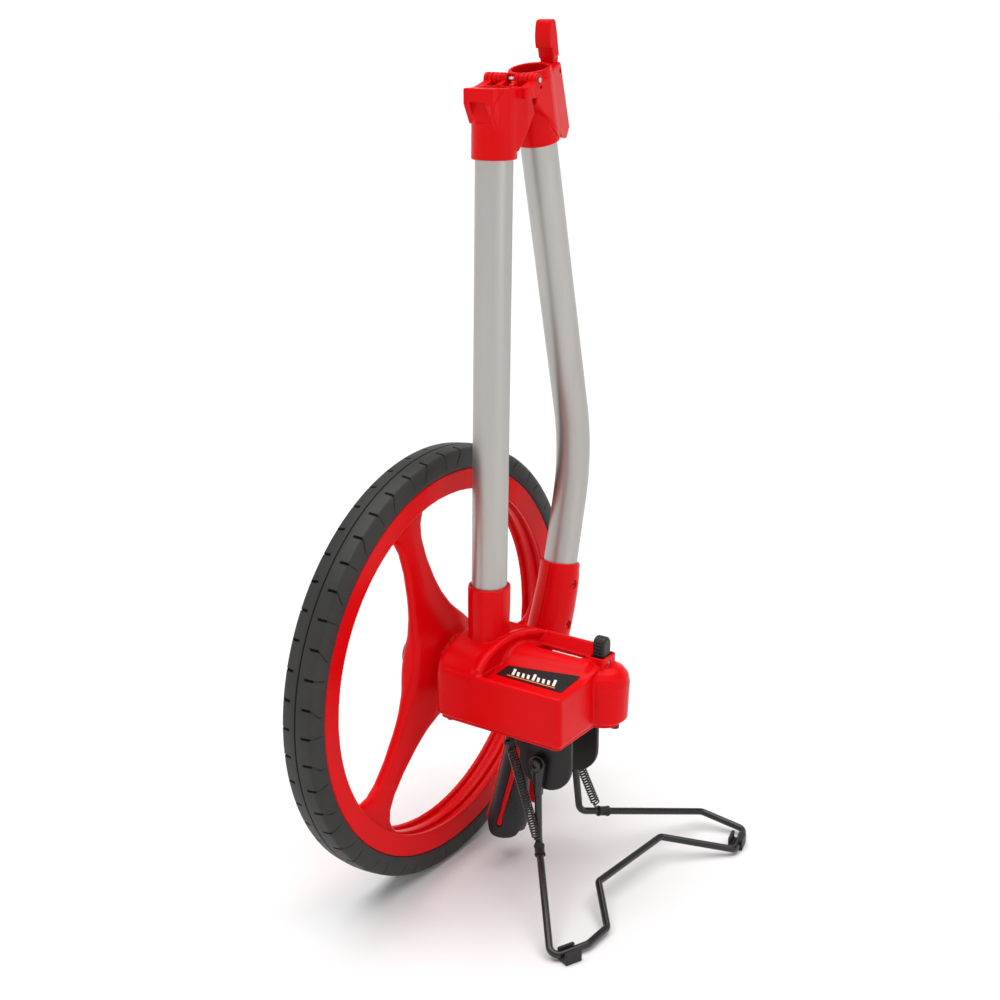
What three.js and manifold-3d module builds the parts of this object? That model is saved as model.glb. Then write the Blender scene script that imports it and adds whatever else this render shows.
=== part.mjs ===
// Folding distance-measuring wheel, parked on its wire stand with the handle folded down.
// Millimetres. X is the rolling direction (the user stands on the -X side), Y runs along the
// axle from the wheel to the counter housing, Z is up. The ground is z = 0, the wheel's middle
// plane is y = 0 and the axle passes through (0, y, WHEEL_R).
import * as THREE from 'three';
import { mergeVertices } from 'three/addons/utils/BufferGeometryUtils.js';
import Module from 'manifold-3d';

const wasm = await Module();
wasm.setup();

// ---- driving dimensions -------------------------------------------------------------------
const WHEEL_R = 159;          // 1 m circumference
const TREAD_HALF = 13.4;      // half width of the tyre
const RIM_R = 143.2;          // rim outer radius
const RIM_INNER = 127.7;      // rim inner edge
const RIM_HALF = 12.4;
const SPOKE_AT = 71.5;        // direction of the first spoke, degrees from +X toward +Z
const SPOKE_HALF = 4;
const WHEEL_SEG = 48;
const CLEAR = 0.3;            // gap between neighbouring pieces

const TUBE_R = 12.5;
const TUBE_WALL = 1.5;
const TUBE_Y = 43.7;          // both tubes and the handle lie in this plane
const RAKE = -1.3;            // lean of the lower tube, degrees about Y
const RAKE_AT = [-4.2, 359];  // a point (x, z) on the lower tube's axis

const HOUSE = { x0: -28, x1: 40, y0: 23.5, y1: 128, z0: 138, top: 174.5, wall: 3 };
const SHAFT = { x: -9, z: 170 };   // counter shaft, parallel to the axle
const LOBE = { x: -22, y: 126, r: 18, top: 178.5 };

const HINGE = { x: -29.3, z: 567 };
const FOLD = 13.5;            // lean of the folded handle tube, degrees
const UPPER_U = 21;           // hinge axis to handle tube axis

const PIVOT = { y: 92, z: 105 };   // stand pivot axis, parallel to X
const CHEEK_1 = 4;
const CHEEK_2 = -32;
const WIRE_R = 2.6;
const ANCHOR = { y: 73, z: 121 };

// ---- geometry helpers ---------------------------------------------------------------------
const rad = (a) => a * Math.PI / 180;
const V = (x, y, z) => new THREE.Vector3(x, y, z);

function solid(geometry) {
  const bare = geometry.index ? geometry.toNonIndexed() : geometry.clone();
  bare.deleteAttribute('normal');
  bare.deleteAttribute('uv');
  const g = mergeVertices(bare, 1e-4);
  const pos = g.attributes.position.array;
  const idx = g.index.array;
  const tris = [];
  let vol = 0;
  for (let i = 0; i < idx.length; i += 3) {
    const [a, b, c] = [idx[i], idx[i + 1], idx[i + 2]];
    if (a === b || b === c || a === c) continue;
    tris.push(a, b, c);
    const pa = V(pos[a * 3], pos[a * 3 + 1], pos[a * 3 + 2]);
    const pb = V(pos[b * 3], pos[b * 3 + 1], pos[b * 3 + 2]);
    const pc = V(pos[c * 3], pos[c * 3 + 1], pos[c * 3 + 2]);
    vol += pa.dot(pb.cross(pc));
  }
  if (vol < 0) {
    for (let i = 0; i < tris.length; i += 3) [tris[i + 1], tris[i + 2]] = [tris[i + 2], tris[i + 1]];
  }
  const vertProperties = new Float32Array(pos);
  return new wasm.Manifold(new wasm.Mesh({ numProp: 3, vertProperties, triVerts: new Uint32Array(tris) }));
}

function geometryOf(m) {
  const mesh = m.getMesh();
  const g = new THREE.BufferGeometry();
  g.setAttribute('position', new THREE.BufferAttribute(new Float32Array(mesh.vertProperties), 3));
  g.setIndex(new THREE.BufferAttribute(new Uint32Array(mesh.triVerts), 1));
  g.computeVertexNormals();
  return g;
}

const join = (...parts) => parts.reduce((a, b) => a.add(b));
const cut = (body, ...tools) => tools.reduce((a, b) => a.subtract(b), body);

function box(x0, x1, y0, y1, z0, z1) {
  const g = new THREE.BoxGeometry(x1 - x0, y1 - y0, z1 - z0);
  g.translate((x0 + x1) / 2, (y0 + y1) / 2, (z0 + z1) / 2);
  return solid(g);
}

// Cylinder between two points.
function rod(a, b, r, seg = 20, r2 = r) {
  const dir = b.clone().sub(a);
  const g = new THREE.CylinderGeometry(r2, r, dir.length(), seg);
  g.translate(0, dir.length() / 2, 0);
  g.applyQuaternion(new THREE.Quaternion().setFromUnitVectors(V(0, 1, 0), dir.clone().normalize()));
  g.translate(a.x, a.y, a.z);
  return solid(g);
}
const rodX = (x0, x1, y, z, r, seg) => rod(V(x0, y, z), V(x1, y, z), r, seg);
const rodY = (x, y0, y1, z, r, seg) => rod(V(x, y0, z), V(x, y1, z), r, seg);
const rodZ = (x, y, z0, z1, r, seg) => rod(V(x, y, z0), V(x, y, z1), r, seg);

// Body of revolution about an axis parallel to Y through (x, z). The profile is [radius, y].
function latheY(profile, x, z, seg = 32) {
  const g = new THREE.LatheGeometry(profile.map(([r, y]) => new THREE.Vector2(r, y)), seg);
  g.translate(x, 0, z);
  return solid(g);
}

// Body of revolution about a vertical axis. The profile is [radius, z].
function latheZ(profile, x, y, seg = 32) {
  const g = new THREE.LatheGeometry(profile.map(([r, h]) => new THREE.Vector2(r, h)), seg);
  g.rotateX(Math.PI / 2);
  g.translate(x, y, 0);
  return solid(g);
}

const shapeOf = (pts) => new THREE.Shape(pts.map(([a, b]) => new THREE.Vector2(a, b)));

// Prism with an (x, z) outline, from y0 to y1.
function prismY(outline, y0, y1) {
  const s = Array.isArray(outline) ? shapeOf(outline) : outline;
  const g = new THREE.ExtrudeGeometry(s, { depth: y1 - y0, bevelEnabled: false, curveSegments: 24 });
  g.rotateX(Math.PI / 2);
  g.translate(0, y1, 0);
  return solid(g);
}

// Prism with a (y, z) outline, from x0 to x1.
function prismX(outline, x0, x1) {
  const g = new THREE.ExtrudeGeometry(shapeOf(outline), { depth: x1 - x0, bevelEnabled: false });
  g.applyMatrix4(new THREE.Matrix4().makeBasis(V(0, 1, 0), V(0, 0, 1), V(1, 0, 0)));
  g.translate(x0, 0, 0);
  return solid(g);
}

// Prism with an (x, y) outline, from z0 to z1.
function prismZ(outline, z0, z1) {
  const g = new THREE.ExtrudeGeometry(shapeOf(outline), { depth: z1 - z0, bevelEnabled: false });
  g.translate(0, 0, z0);
  return solid(g);
}

function arc(cx, cy, r, a0, a1, n = 6) {
  const pts = [];
  for (let i = 0; i <= n; i++) {
    const a = rad(a0 + (a1 - a0) * i / n);
    pts.push([cx + r * Math.cos(a), cy + r * Math.sin(a)]);
  }
  return pts;
}

// Polyline with its inner corners rounded, to one radius or to one radius per corner.
function rounded(points, radii, steps = 5) {
  const out = [points[0].clone()];
  for (let i = 1; i < points.length - 1; i++) {
    const p = points[i];
    const r = Array.isArray(radii) ? radii[i - 1] : radii;
    const a = points[i - 1].clone().sub(p).normalize();
    const b = points[i + 1].clone().sub(p).normalize();
    const half = Math.acos(THREE.MathUtils.clamp(a.dot(b), -1, 1)) / 2;
    const run = Math.min(r / Math.tan(half), points[i - 1].distanceTo(p) / 2, points[i + 1].distanceTo(p) / 2);
    const radius = run * Math.tan(half);
    const centre = p.clone().add(a.clone().add(b).normalize().multiplyScalar(radius / Math.sin(half)));
    const v0 = p.clone().add(a.multiplyScalar(run)).sub(centre);
    const v1 = p.clone().add(b.multiplyScalar(run)).sub(centre);
    const sweepAngle = Math.PI - 2 * half;
    for (let k = 0; k <= steps; k++) {
      const t = k / steps;
      const s0 = Math.sin((1 - t) * sweepAngle) / Math.sin(sweepAngle);
      const s1 = Math.sin(t * sweepAngle) / Math.sin(sweepAngle);
      out.push(centre.clone().addScaledVector(v0, s0).addScaledVector(v1, s1));
    }
  }
  out.push(points[points.length - 1].clone());
  return out;
}

// Closed sweep of an elliptical section. radii is one number, or one [a, b] per path point,
// a lying across the side vector and b along it.
function sweep(path, radii, sides = 12, side = null) {
  const n = path.length;
  const pos = [];
  let ref = side ? side.clone() : null;
  for (let i = 0; i < n; i++) {
    const t = path[Math.min(i + 1, n - 1)].clone().sub(path[Math.max(i - 1, 0)]).normalize();
    if (!ref) ref = Math.abs(t.z) < 0.9 ? V(0, 0, 1) : V(1, 0, 0);
    const b = ref.clone().addScaledVector(t, -ref.dot(t)).normalize();
    ref = b;
    const a = b.clone().cross(t);
    const [ra, rb] = Array.isArray(radii) ? radii[i] : [radii, radii];
    for (let k = 0; k < sides; k++) {
      const w = 2 * Math.PI * k / sides;
      const p = path[i].clone().addScaledVector(a, ra * Math.cos(w)).addScaledVector(b, rb * Math.sin(w));
      pos.push(p.x, p.y, p.z);
    }
  }
  const first = pos.length / 3;
  pos.push(path[0].x, path[0].y, path[0].z, path[n - 1].x, path[n - 1].y, path[n - 1].z);
  const idx = [];
  for (let i = 0; i < n - 1; i++) {
    for (let k = 0; k < sides; k++) {
      const k2 = (k + 1) % sides;
      const [p, q, r, s] = [i * sides + k, i * sides + k2, (i + 1) * sides + k, (i + 1) * sides + k2];
      idx.push(p, r, q, q, r, s);
    }
  }
  for (let k = 0; k < sides; k++) {
    const k2 = (k + 1) % sides;
    idx.push(first, k, k2, first + 1, (n - 1) * sides + k2, (n - 1) * sides + k);
  }
  const g = new THREE.BufferGeometry();
  g.setAttribute('position', new THREE.BufferAttribute(new Float32Array(pos), 3));
  g.setIndex(idx);
  return solid(g);
}

// Spur gear outline around (cx, cz), first tooth at angle a0.
function gearOutline(cx, cz, pitch, teeth, a0) {
  const pts = [];
  const step = 360 / teeth;
  for (let i = 0; i < teeth; i++) {
    const a = a0 + i * step;
    for (const [r, off] of [[pitch - 0.9, -0.3], [pitch + 0.55, -0.12], [pitch + 0.55, 0.12], [pitch - 0.9, 0.3]]) {
      const w = rad(a + off * step);
      pts.push([cx + r * Math.cos(w), cz + r * Math.sin(w)]);
    }
  }
  return pts;
}

// ---- materials and the group --------------------------------------------------------------
const object = new THREE.Group();
object.name = 'folding_measuring_wheel';
const RED = [0xd40d12, 0.32, 0.0];
const BLACK = [0x1c1c1e, 0.5, 0.0];
const RUBBER = [0x242426, 0.8, 0.0];
const ALU = [0xb9b7b4, 0.4, 0.9];
const STEEL = [0x8d8f92, 0.35, 1.0];
const DARK = [0x2b2b2d, 0.45, 0.6];
const WHITE = [0xe8e6e0, 0.5, 0.0];
const CLEARS = [0xdfe6ea, 0.1, 0.0];

function add(name, body, [color, roughness, metalness]) {
  const mesh = new THREE.Mesh(geometryOf(body), new THREE.MeshStandardMaterial({ color, roughness, metalness }));
  mesh.name = name;
  object.add(mesh);
}

// ---- wheel --------------------------------------------------------------------------------
const half = (pts) => [...pts, ...pts.map(([r, y]) => [r, -y]).reverse()];
const tyreProfile = [
  [RIM_R + CLEAR, 4.5], [RIM_R + CLEAR, 12.2], [149.5, TREAD_HALF], [156.6, 11.6], [WHEEL_R, 1.3], [157.6, 0.6],
];
const tyreLoop = half(tyreProfile);
tyreLoop.push([141.5, -4.1], [141.5, 4.1], tyreProfile[0]);
add('tyre', latheY(tyreLoop, 0, WHEEL_R, WHEEL_SEG), RUBBER);

const rimProfile = [
  [RIM_R, 4.9], [RIM_R, RIM_HALF], [RIM_INNER, 11.5], [130.8, 7.4], [130.8, 3.4], [128.2, 2.6],
];
const rimLoop = half(rimProfile);
rimLoop.push([141.2, -4.5], [141.2, 4.5], rimProfile[0]);
const rim = latheY(rimLoop, 0, WHEEL_R, WHEEL_SEG);

// One opening between two spokes, centred on direction 0, as [radius, angle] pairs.
const openingEdge = [[37, 0], [38.5, 14], [44, 28], [54, 39.5], [68, 47], [86, 51.5], [105, 53.2], [118, 52.7], [125, 49.8]];
function opening(centre) {
  const pts = [];
  const place = (r, a) => pts.push([r * Math.cos(rad(centre + a)), WHEEL_R + r * Math.sin(rad(centre + a))]);
  for (const [r, a] of openingEdge) place(r, a);
  for (let a = 45; a >= -45; a -= 5) place(128.4, a);
  for (const [r, a] of openingEdge.slice(1).reverse()) place(r, -a);
  return prismY(pts, -30, 30);
}
const disc = latheY([[0, -SPOKE_HALF], [133, -SPOKE_HALF], [133, SPOKE_HALF], [0, SPOKE_HALF]], 0, WHEEL_R, WHEEL_SEG);
const hub = latheY([
  [0, -17], [17, -17], [20, -15], [28, -9], [36, -3.5], [36, 3.5], [28, 10], [22, 16], [19, 18], [0, 18],
], 0, WHEEL_R, 28);
const BORE_R = 11;
let wheel = join(rim, disc, hub);
for (const k of [0, 1, 2]) wheel = wheel.subtract(opening(SPOKE_AT - 60 + 120 * k));
wheel = cut(wheel,
  rodY(0, -30, 30, WHEEL_R, 6.5, 24),
  rodY(0, -30, -9, WHEEL_R, BORE_R, 24),
  rodY(0, 9, 30, WHEEL_R, BORE_R, 24));
add('wheel_rim', wheel, RED);

const ring = (r0, r1, y0, y1, x = 0, z = WHEEL_R, seg = 24) =>
  latheY([[r0, y0], [r1, y0], [r1, y1], [r0, y1], [r0, y0]], x, z, seg);
add('bearing_outer', ring(4.4, BORE_R - CLEAR, -15.7, -9.3), STEEL);
add('bearing_inner', ring(4.4, BORE_R - CLEAR, 9.3, 15.7), STEEL);
add('hub_cap', cut(
  latheY([[0, -25.5], [11, -25.5], [14, -23.5], [15, -17.3], [0, -17.3]], 0, WHEEL_R, 32),
  rodY(0, -23.3, -17, WHEEL_R, 8.5, 24)), BLACK);
add('axle_washer', ring(4.4, 7.6, -18.1, -16.7), STEEL);
add('axle_nut', cut(rodY(0, -22.6, -18.5, WHEEL_R, 6.6, 6), rodY(0, -24, -17, WHEEL_R, 4.3, 20)), STEEL);
add('axle', rodY(0, -22.9, 55.5, WHEEL_R, 4, 20), STEEL);

// The hub's drive sleeve reaches into the housing and carries the first gear.
const GEAR_PITCH = Math.hypot(SHAFT.x, SHAFT.z - WHEEL_R) / 2;
const meshAngle = Math.atan2(SHAFT.z - WHEEL_R, SHAFT.x) * 180 / Math.PI;
const gear1 = prismY(gearOutline(0, WHEEL_R, GEAR_PITCH, 20, meshAngle), 33, 39);
add('drive_gear', cut(
  join(rodY(0, 16.1, 42, WHEEL_R, 5.6, 24), gear1),
  rodY(0, 15, 43, WHEEL_R, 4.4, 24)), STEEL);

// ---- counter ------------------------------------------------------------------------------
const gear2 = prismY(gearOutline(SHAFT.x, SHAFT.z, GEAR_PITCH, 20, meshAngle + 180 + 9), 33, 39);
add('counter_gear', cut(gear2, rodY(SHAFT.x, 32, 40, SHAFT.z, 1.8, 16)), WHITE);
add('counter_shaft', rodY(SHAFT.x, 31.4, 117.5, SHAFT.z, 1.5, 16), STEEL);
const DRUM_R = 8.8;
for (let i = 0; i < 5; i++) {
  const y0 = 64.4 + 9.4 * i;
  add(`number_drum_${i + 1}`, ring(1.8, DRUM_R, y0, y0 + 8.9, SHAFT.x, SHAFT.z, 20), i ? BLACK : RED);
}
add('counter_frame', cut(
  join(
    box(-16, -2, 60.4, 62.4, 157, 176),
    box(-16, -2, 112.4, 114.4, 157, 176),
    box(-16, -2, 60.4, 114.4, 155, 157.4)),
  rodY(SHAFT.x, 55, 120, SHAFT.z, 1.8, 16)), WHITE);
add('counter_window', prismY([
  [-11, 182.2], [-11, 180], [-23.5, 173.5], [-23.5, 175.7],
], 64.3, 111.7), CLEARS);

// ---- housing ------------------------------------------------------------------------------
const H = HOUSE;
function onTube(z) {
  return RAKE_AT[0] + (z - RAKE_AT[1]) * Math.tan(rad(RAKE));
}
const tubeRod = (z0, z1, r, seg = 32, r2 = r) => rod(V(onTube(z0), TUBE_Y, z0), V(onTube(z1), TUBE_Y, z1), r, seg, r2);

const plan = [
  ...arc(H.x1 - 8, H.y0 + 8, 8, -90, 0), ...arc(H.x1 - 4, H.y1 - 4, 4, 0, 90),
  [H.x0, H.y1], [H.x0, H.y0],
];
// The raised end climbs fast behind the front edge, then levels out toward the rear.
const BLOCK_RISE = { height: 17, run: 14.6 };
const blockTop = (x) => H.top - 0.5 + BLOCK_RISE.height * (1 - Math.exp((x - H.x1 + 3) / BLOCK_RISE.run));
const blockSteps = [0, 3, 6, 10, 15, 21, 29, 41, 62].map((d) => H.x1 - 3 - d);
const blockProfile = [
  [H.x1, H.z0], [H.x1, H.top - 3.5], ...blockSteps.map((x) => [x, blockTop(x)]),
  [H.x0, blockTop(H.x0) - 3], [H.x0, H.z0],
];
const blockPlan = [
  [H.x1, H.y0 - 1], [H.x1, 62.5], [34, 60.8], [26, 60.6], [18, 61], [6, 61.6], [-6, 63], [-15, 67.5], [-22, 75],
  [H.x0, 77], [H.x0, H.y0 - 1],
];
const mainProfile = [
  [H.x1, H.z0], [H.x1, H.top - 2.5], [H.x1 - 2.5, H.top], [H.x0, H.top], [H.x0, H.z0],
];
const lobeProfile = [
  [0, H.z0], [LOBE.r, H.z0], [LOBE.r, 167], [LOBE.r - 1.2, 172], [LOBE.r - 4.5, 176], [LOBE.r - 9, LOBE.top - 0.6],
  [0, LOBE.top],
];
// The label lies on a pad that climbs toward the hood over the number drums.
const PAD = { y0: 62, y1: 124.3, front: 36.2, knee: 24, low: 170.4, rise: 0.25 };
const padTop = (x) => PAD.low + PAD.rise * (PAD.knee - x);
const outer = join(
  prismY(mainProfile, H.y0, H.y1).intersect(prismZ(plan, 100, 250)).subtract(box(-8, PAD.front, PAD.y0, PAD.y1, PAD.low, 190)),
  prismY([[PAD.front, 160], [PAD.front, PAD.low - 0.1], [PAD.knee, PAD.low], [-8, padTop(-8)], [-8, 160]], PAD.y0, PAD.y1),
  prismY(blockProfile, H.y0, 80).intersect(prismZ(blockPlan, 100, 250)).intersect(prismZ(plan, 100, 250)),
  latheZ(lobeProfile, LOBE.x, LOBE.y, 28),
  sweep([V(SHAFT.x, 56, SHAFT.z), V(SHAFT.x, 122, SHAFT.z)], [[19, 13.4], [11.6, 13.4]], 28, V(0, 0, 1)),
  prismY([[-28, 170], [-28, 188.6], [-26.4, 190], [-25, 189.4], [-19.4, 181.4], [-19.4, 172], [-24, 170]], 60, 121),
  box(-29.5, -12, 117, 130.6, 168, 185.5),
  tubeRod(170, 226, 15, 24));

const lid = (slack) => [[H.x1 - 3, 130], [H.x1 - 3, slack], [H.x0 + 3, slack], [H.x0 + 3, 130]];
let shell = cut(outer,
  prismY(lid(167.4), H.y0 + 3, H.y1 - 3),
  prismY([[37, 160], [37, 167], [28, 173], [15, 179], [-25, 184], [-25, 160]], H.y0 + 3, 53),
  rodY(SHAFT.x, H.y0 + 3, 118.5, SHAFT.z, 10.4, 20),
  prismY([[-10.6, 200], [-10.6, 177], [-23.8, 171], [-23.8, 176], [-19.2, 178.4], [-19.2, 200]], 64, 112),
  latheZ([[0, 130], [LOBE.r - 3, 130], [LOBE.r - 3, 170], [0, 170]], LOBE.x, LOBE.y, 20),
  box(-28, -13.2, 119.2, 129.3, 160, 195),
  rodY(0, H.y0 - 1, H.y0 + 4, WHEEL_R, 8.6, 28),
  tubeRod(184, 230, TUBE_R + CLEAR, 24));
// Inner wall that holds the axle's fixed end.
shell = join(shell, box(-14, 12, 47, 55, 148, 169));
shell = cut(shell,
  rodY(0, 44, 60, WHEEL_R, 4.3, 24),
  rodY(SHAFT.x, 44, 60, SHAFT.z, 2.4, 16));
const posts = [[30, 32.5, 174], [30, 118, 168.5], [-21.2, 31.8, 186], [-22, 135.2, 172]];
for (const [x, y, top] of posts) {
  shell = join(shell, rodZ(x, y, H.z0, top, 3.6, 16));
}
for (const [x, y] of posts) shell = shell.subtract(rodZ(x, y, 130, 152, 1.6, 12));
// Bore for the reset lever's pivot pin.
const RESET = { x: -20.6, y: 124.25, z: 180 };
shell = shell.subtract(rodY(RESET.x, 115.5, 132, RESET.z, 1.7, 14));
add('housing_shell', shell, RED);

const basePlan = [
  ...arc(H.x1 - 9, H.y0 + 8, 5, -90, 0), ...arc(H.x1 - 9, H.y1 - 8, 5, 0, 90),
  ...arc(LOBE.x, LOBE.y, 12.5, 0, 150, 12), [H.x0 - 4.6, 115], [H.x0 + 2, 110], [H.x0 + 2, H.y0 + 3],
];
let base = prismZ(basePlan, 134, H.z0 - CLEAR);
for (const [x, y] of posts) base = base.subtract(rodZ(x, y, 130, 140, 1.6, 12));
add('base_plate', base, RED);
posts.forEach(([x, y], i) => {
  add(`base_screw_${i + 1}`, join(rodZ(x, y, 132, 133.7, 3.2, 16), rodZ(x, y, 133, 150, 1.3, 12)), STEEL);
});
const labelPlan = [[22.1, 65], [22.6, 118], [2.2, 121.4], [10.7, 67.6]];
add('label_plate', prismZ(labelPlan, 150, 200).intersect(prismY([
  [40, padTop(40) + CLEAR], [40, padTop(40) + 1.3], [-10, padTop(-10) + 1.3], [-10, padTop(-10) + CLEAR],
], 50, 130)), BLACK);

add('reset_knob', cut(
  prismY([
    [-25.6, 176], [-15.6, 176], [-15.2, 193], ...arc(-20.6, 193.4, 5.4, 0, 180, 8), [-26, 193],
  ], 119.8, 128.7),
  rodY(RESET.x, 118, 131, RESET.z, 1.7, 14)), BLACK);
add('reset_pin', rodY(RESET.x, 117.3, 130.2, RESET.z, 1.35, 14), STEEL);

// ---- stand bracket ------------------------------------------------------------------------
const cheek = [
  ...arc(95, 105, 21.5, 180, 360, 14), [116.5, 130.5], [67.5, 130.5], [67.5, 118], [73.5, 108],
];
let bracket = join(
  box(CHEEK_2 - 4, CHEEK_1 + 4, 67.5, 121, 129.8, 133.6),
  prismX(cheek, CHEEK_1 - 1.7, CHEEK_1 + 1.7),
  prismX(cheek, CHEEK_2 - 1.7, CHEEK_2 + 1.7));
bracket = cut(bracket,
  rodX(-60, 40, PIVOT.y, PIVOT.z, 3.3, 20),
  rodX(-60, 40, ANCHOR.y, ANCHOR.z, 2.1, 16));
add('stand_bracket', bracket, BLACK);
add('spring_bar', rodX(-51, 22.5, ANCHOR.y, ANCHOR.z, 1.8, 14), DARK);
const LUG_1 = CHEEK_1 + 5.6;
const LUG_2 = CHEEK_2 - 5.6;
function bolt(inner, lug, out) {
  const face = lug + out * 2.1;
  return join(
    rodX(Math.min(inner, face), Math.max(inner, face), PIVOT.y, PIVOT.z, 3, 18),
    rodX(Math.min(face, face + out * 2.2), Math.max(face, face + out * 2.2), PIVOT.y, PIVOT.z, 4.6, 18));
}
add('stand_bolt_1', bolt(CHEEK_1 - 7, LUG_1, 1), DARK);
add('stand_bolt_2', bolt(CHEEK_2 + 7, LUG_2, -1), DARK);
function nut(cheekX, out) {
  const a = cheekX - out * 2;
  const b = cheekX - out * 6;
  const [x0, x1] = [Math.min(a, b), Math.max(a, b)];
  return cut(rodX(x0, x1, PIVOT.y, PIVOT.z, 5.6, 6), rodX(x0 - 1, x1 + 1, PIVOT.y, PIVOT.z, 3.3, 18));
}
add('stand_nut_1', nut(CHEEK_1, 1), STEEL);
add('stand_nut_2', nut(CHEEK_2, -1), STEEL);

// ---- wire stand ---------------------------------------------------------------------------
const FOOT_Z = 4.6;
const KNEE_1 = V(6.8, 91.5, 42);
const KNEE_2 = V(-47.5, 93, 41);
const wirePoints = [
  V(LUG_1, PIVOT.y, PIVOT.z - 5.2), KNEE_1, V(77, 145.8, FOOT_Z), V(49, 158.5, FOOT_Z), V(25, 159.6, 5),
  V(-5, 134.8, 17), V(-84, 142.5, 17.5), V(-118.5, 188, FOOT_Z), V(-149.5, 181, FOOT_Z), V(-143.5, 147.3, 12.5),
  KNEE_2, V(LUG_2, PIVOT.y, PIVOT.z - 5.2),
];
const bendRadii = [12, 5.5, 9, 5.5, 5.5, 5.5, 5, 5, 6, 9];
const wirePath = rounded(wirePoints, bendRadii, 3);
const lug = (x) => rodX(x - 1.8, x + 1.8, PIVOT.y, PIVOT.z, 6.4, 20);
add('stand_wire', cut(
  join(sweep(wirePath, WIRE_R, 6), lug(LUG_1), lug(LUG_2)),
  rodX(-60, 40, PIVOT.y, PIVOT.z, 3.3, 20)), DARK);

const wireGap = sweep(wirePath, WIRE_R + CLEAR, 6);
function footAt(a, b, t, shift) {
  const dir = b.clone().sub(a).setZ(0).normalize();
  const g = new THREE.BoxGeometry(16, 14, 9.4);
  g.rotateZ(Math.atan2(dir.y, dir.x));
  const mid = a.clone().lerp(b, t);
  g.translate(mid.x + shift.x, mid.y + shift.y, 4.7);
  return solid(g).subtract(wireGap);
}
add('foot_1', footAt(wirePoints[2], wirePoints[3], 0.45, V(1.1, 2.3, 0)), RUBBER);
add('foot_2', footAt(wirePoints[7], wirePoints[8], 0.43, V(0.4, -1.4, 0)), RUBBER);

function sleeveAt(knee, next, from, to) {
  const dir = next.clone().sub(knee).normalize();
  const a = knee.clone().addScaledVector(dir, from);
  const b = knee.clone().addScaledVector(dir, to);
  return rod(a, b, 4.5, 16).subtract(wireGap);
}
add('leg_sleeve_1', sleeveAt(KNEE_1, wirePoints[2], 4, 13), RUBBER);
add('leg_sleeve_2', sleeveAt(KNEE_2, wirePoints[9], 16, 26), RUBBER);

const SPRING_1 = [V(18, ANCHOR.y, ANCHOR.z), V(13.6, 95, 41)];
const SPRING_2 = [V(-46, ANCHOR.y, ANCHOR.z), V(-61.5, 101.5, 38)];
function coil([a, b]) {
  const dir = b.clone().sub(a).normalize();
  return rod(a.clone().addScaledVector(dir, 5), b.clone().addScaledVector(dir, -9), 3.2, 12);
}
add('stand_spring_1', coil(SPRING_1), DARK);
add('stand_spring_2', coil(SPRING_2), DARK);

// ---- lower tube and its hinge head --------------------------------------------------------
const pipe = (z0, z1) => tubeRod(z0, z1, TUBE_R, 24).subtract(tubeRod(z0 - 1, z1 + 1, TUBE_R - TUBE_WALL, 24));
add('lower_tube', pipe(184.4, 560), ALU);

const HEAD = { y0: 27, y1: 60.4, z0: 518, top: HINGE.z - 4.2 };
const knuckle = (y0, y1) => rodY(HINGE.x, y0, y1, HINGE.z, 4.2, 20);
const lowerSpans = [[23.4, 29.8], [37.2, 50.2], [57.6, 64]];
const upperSpans = [[30.1, 36.9], [50.5, 57.3]];
let lower = join(
  tubeRod(HEAD.z0, HEAD.top, 15, 24),
  prismY([[-10, HEAD.top], [-24, HEAD.top], [-30.5, 545], [-12, 524], [-6, 524]], HEAD.y0, HEAD.y1),
  prismY([[-6, HEAD.top], [10, HEAD.top], [10, 553], [4, 541], [-6, 541]], 31.5, 54));
for (const [y0, y1] of lowerSpans) {
  lower = join(lower, knuckle(y0, y1), prismY([[-32.8, 566], [-27, 556], [-16, 556], [-16, HEAD.top], [-25.8, 566]], y0, y1));
}
lower = join(lower, prismY([[-16, 556], [-24, 556], [-20, HEAD.top], [-16, HEAD.top]], 23.4, 64));
lower = cut(lower,
  tubeRod(HEAD.z0 - 1, HEAD.top + 1, TUBE_R + CLEAR, 24),
  box(6.4, 14, 37, 50.4, 544.5, 556),
  rodY(HINGE.x, 20, 70, HINGE.z, 1.9, 16));
for (const [y0, y1] of upperSpans) lower = lower.subtract(rodY(HINGE.x, y0 - 0.2, y1 + 0.2, HINGE.z, 6.2, 24));
add('lower_collar', lower, RED);
add('hinge_pin', rodY(HINGE.x, 22.6, 64.8, HINGE.z, 1.6, 16), STEEL);

// ---- folding handle -----------------------------------------------------------------------
// Handle head frame: u runs from the hinge toward the handle tube, w along the tube past its mouth.
const OUT = V(-Math.cos(rad(FOLD)), 0, Math.sin(rad(FOLD)));
const UP = V(Math.sin(rad(FOLD)), 0, Math.cos(rad(FOLD)));
const at = (u, w, y = TUBE_Y) => V(HINGE.x, y, HINGE.z).addScaledVector(OUT, u).addScaledVector(UP, w);
const outline = (pts) => pts.map(([u, w]) => { const p = at(u, w); return [p.x, p.z]; });
const headRod = (w0, w1, r, seg = 32, r2 = r) => rod(at(UPPER_U, w0), at(UPPER_U, w1), r, seg, r2);

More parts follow.
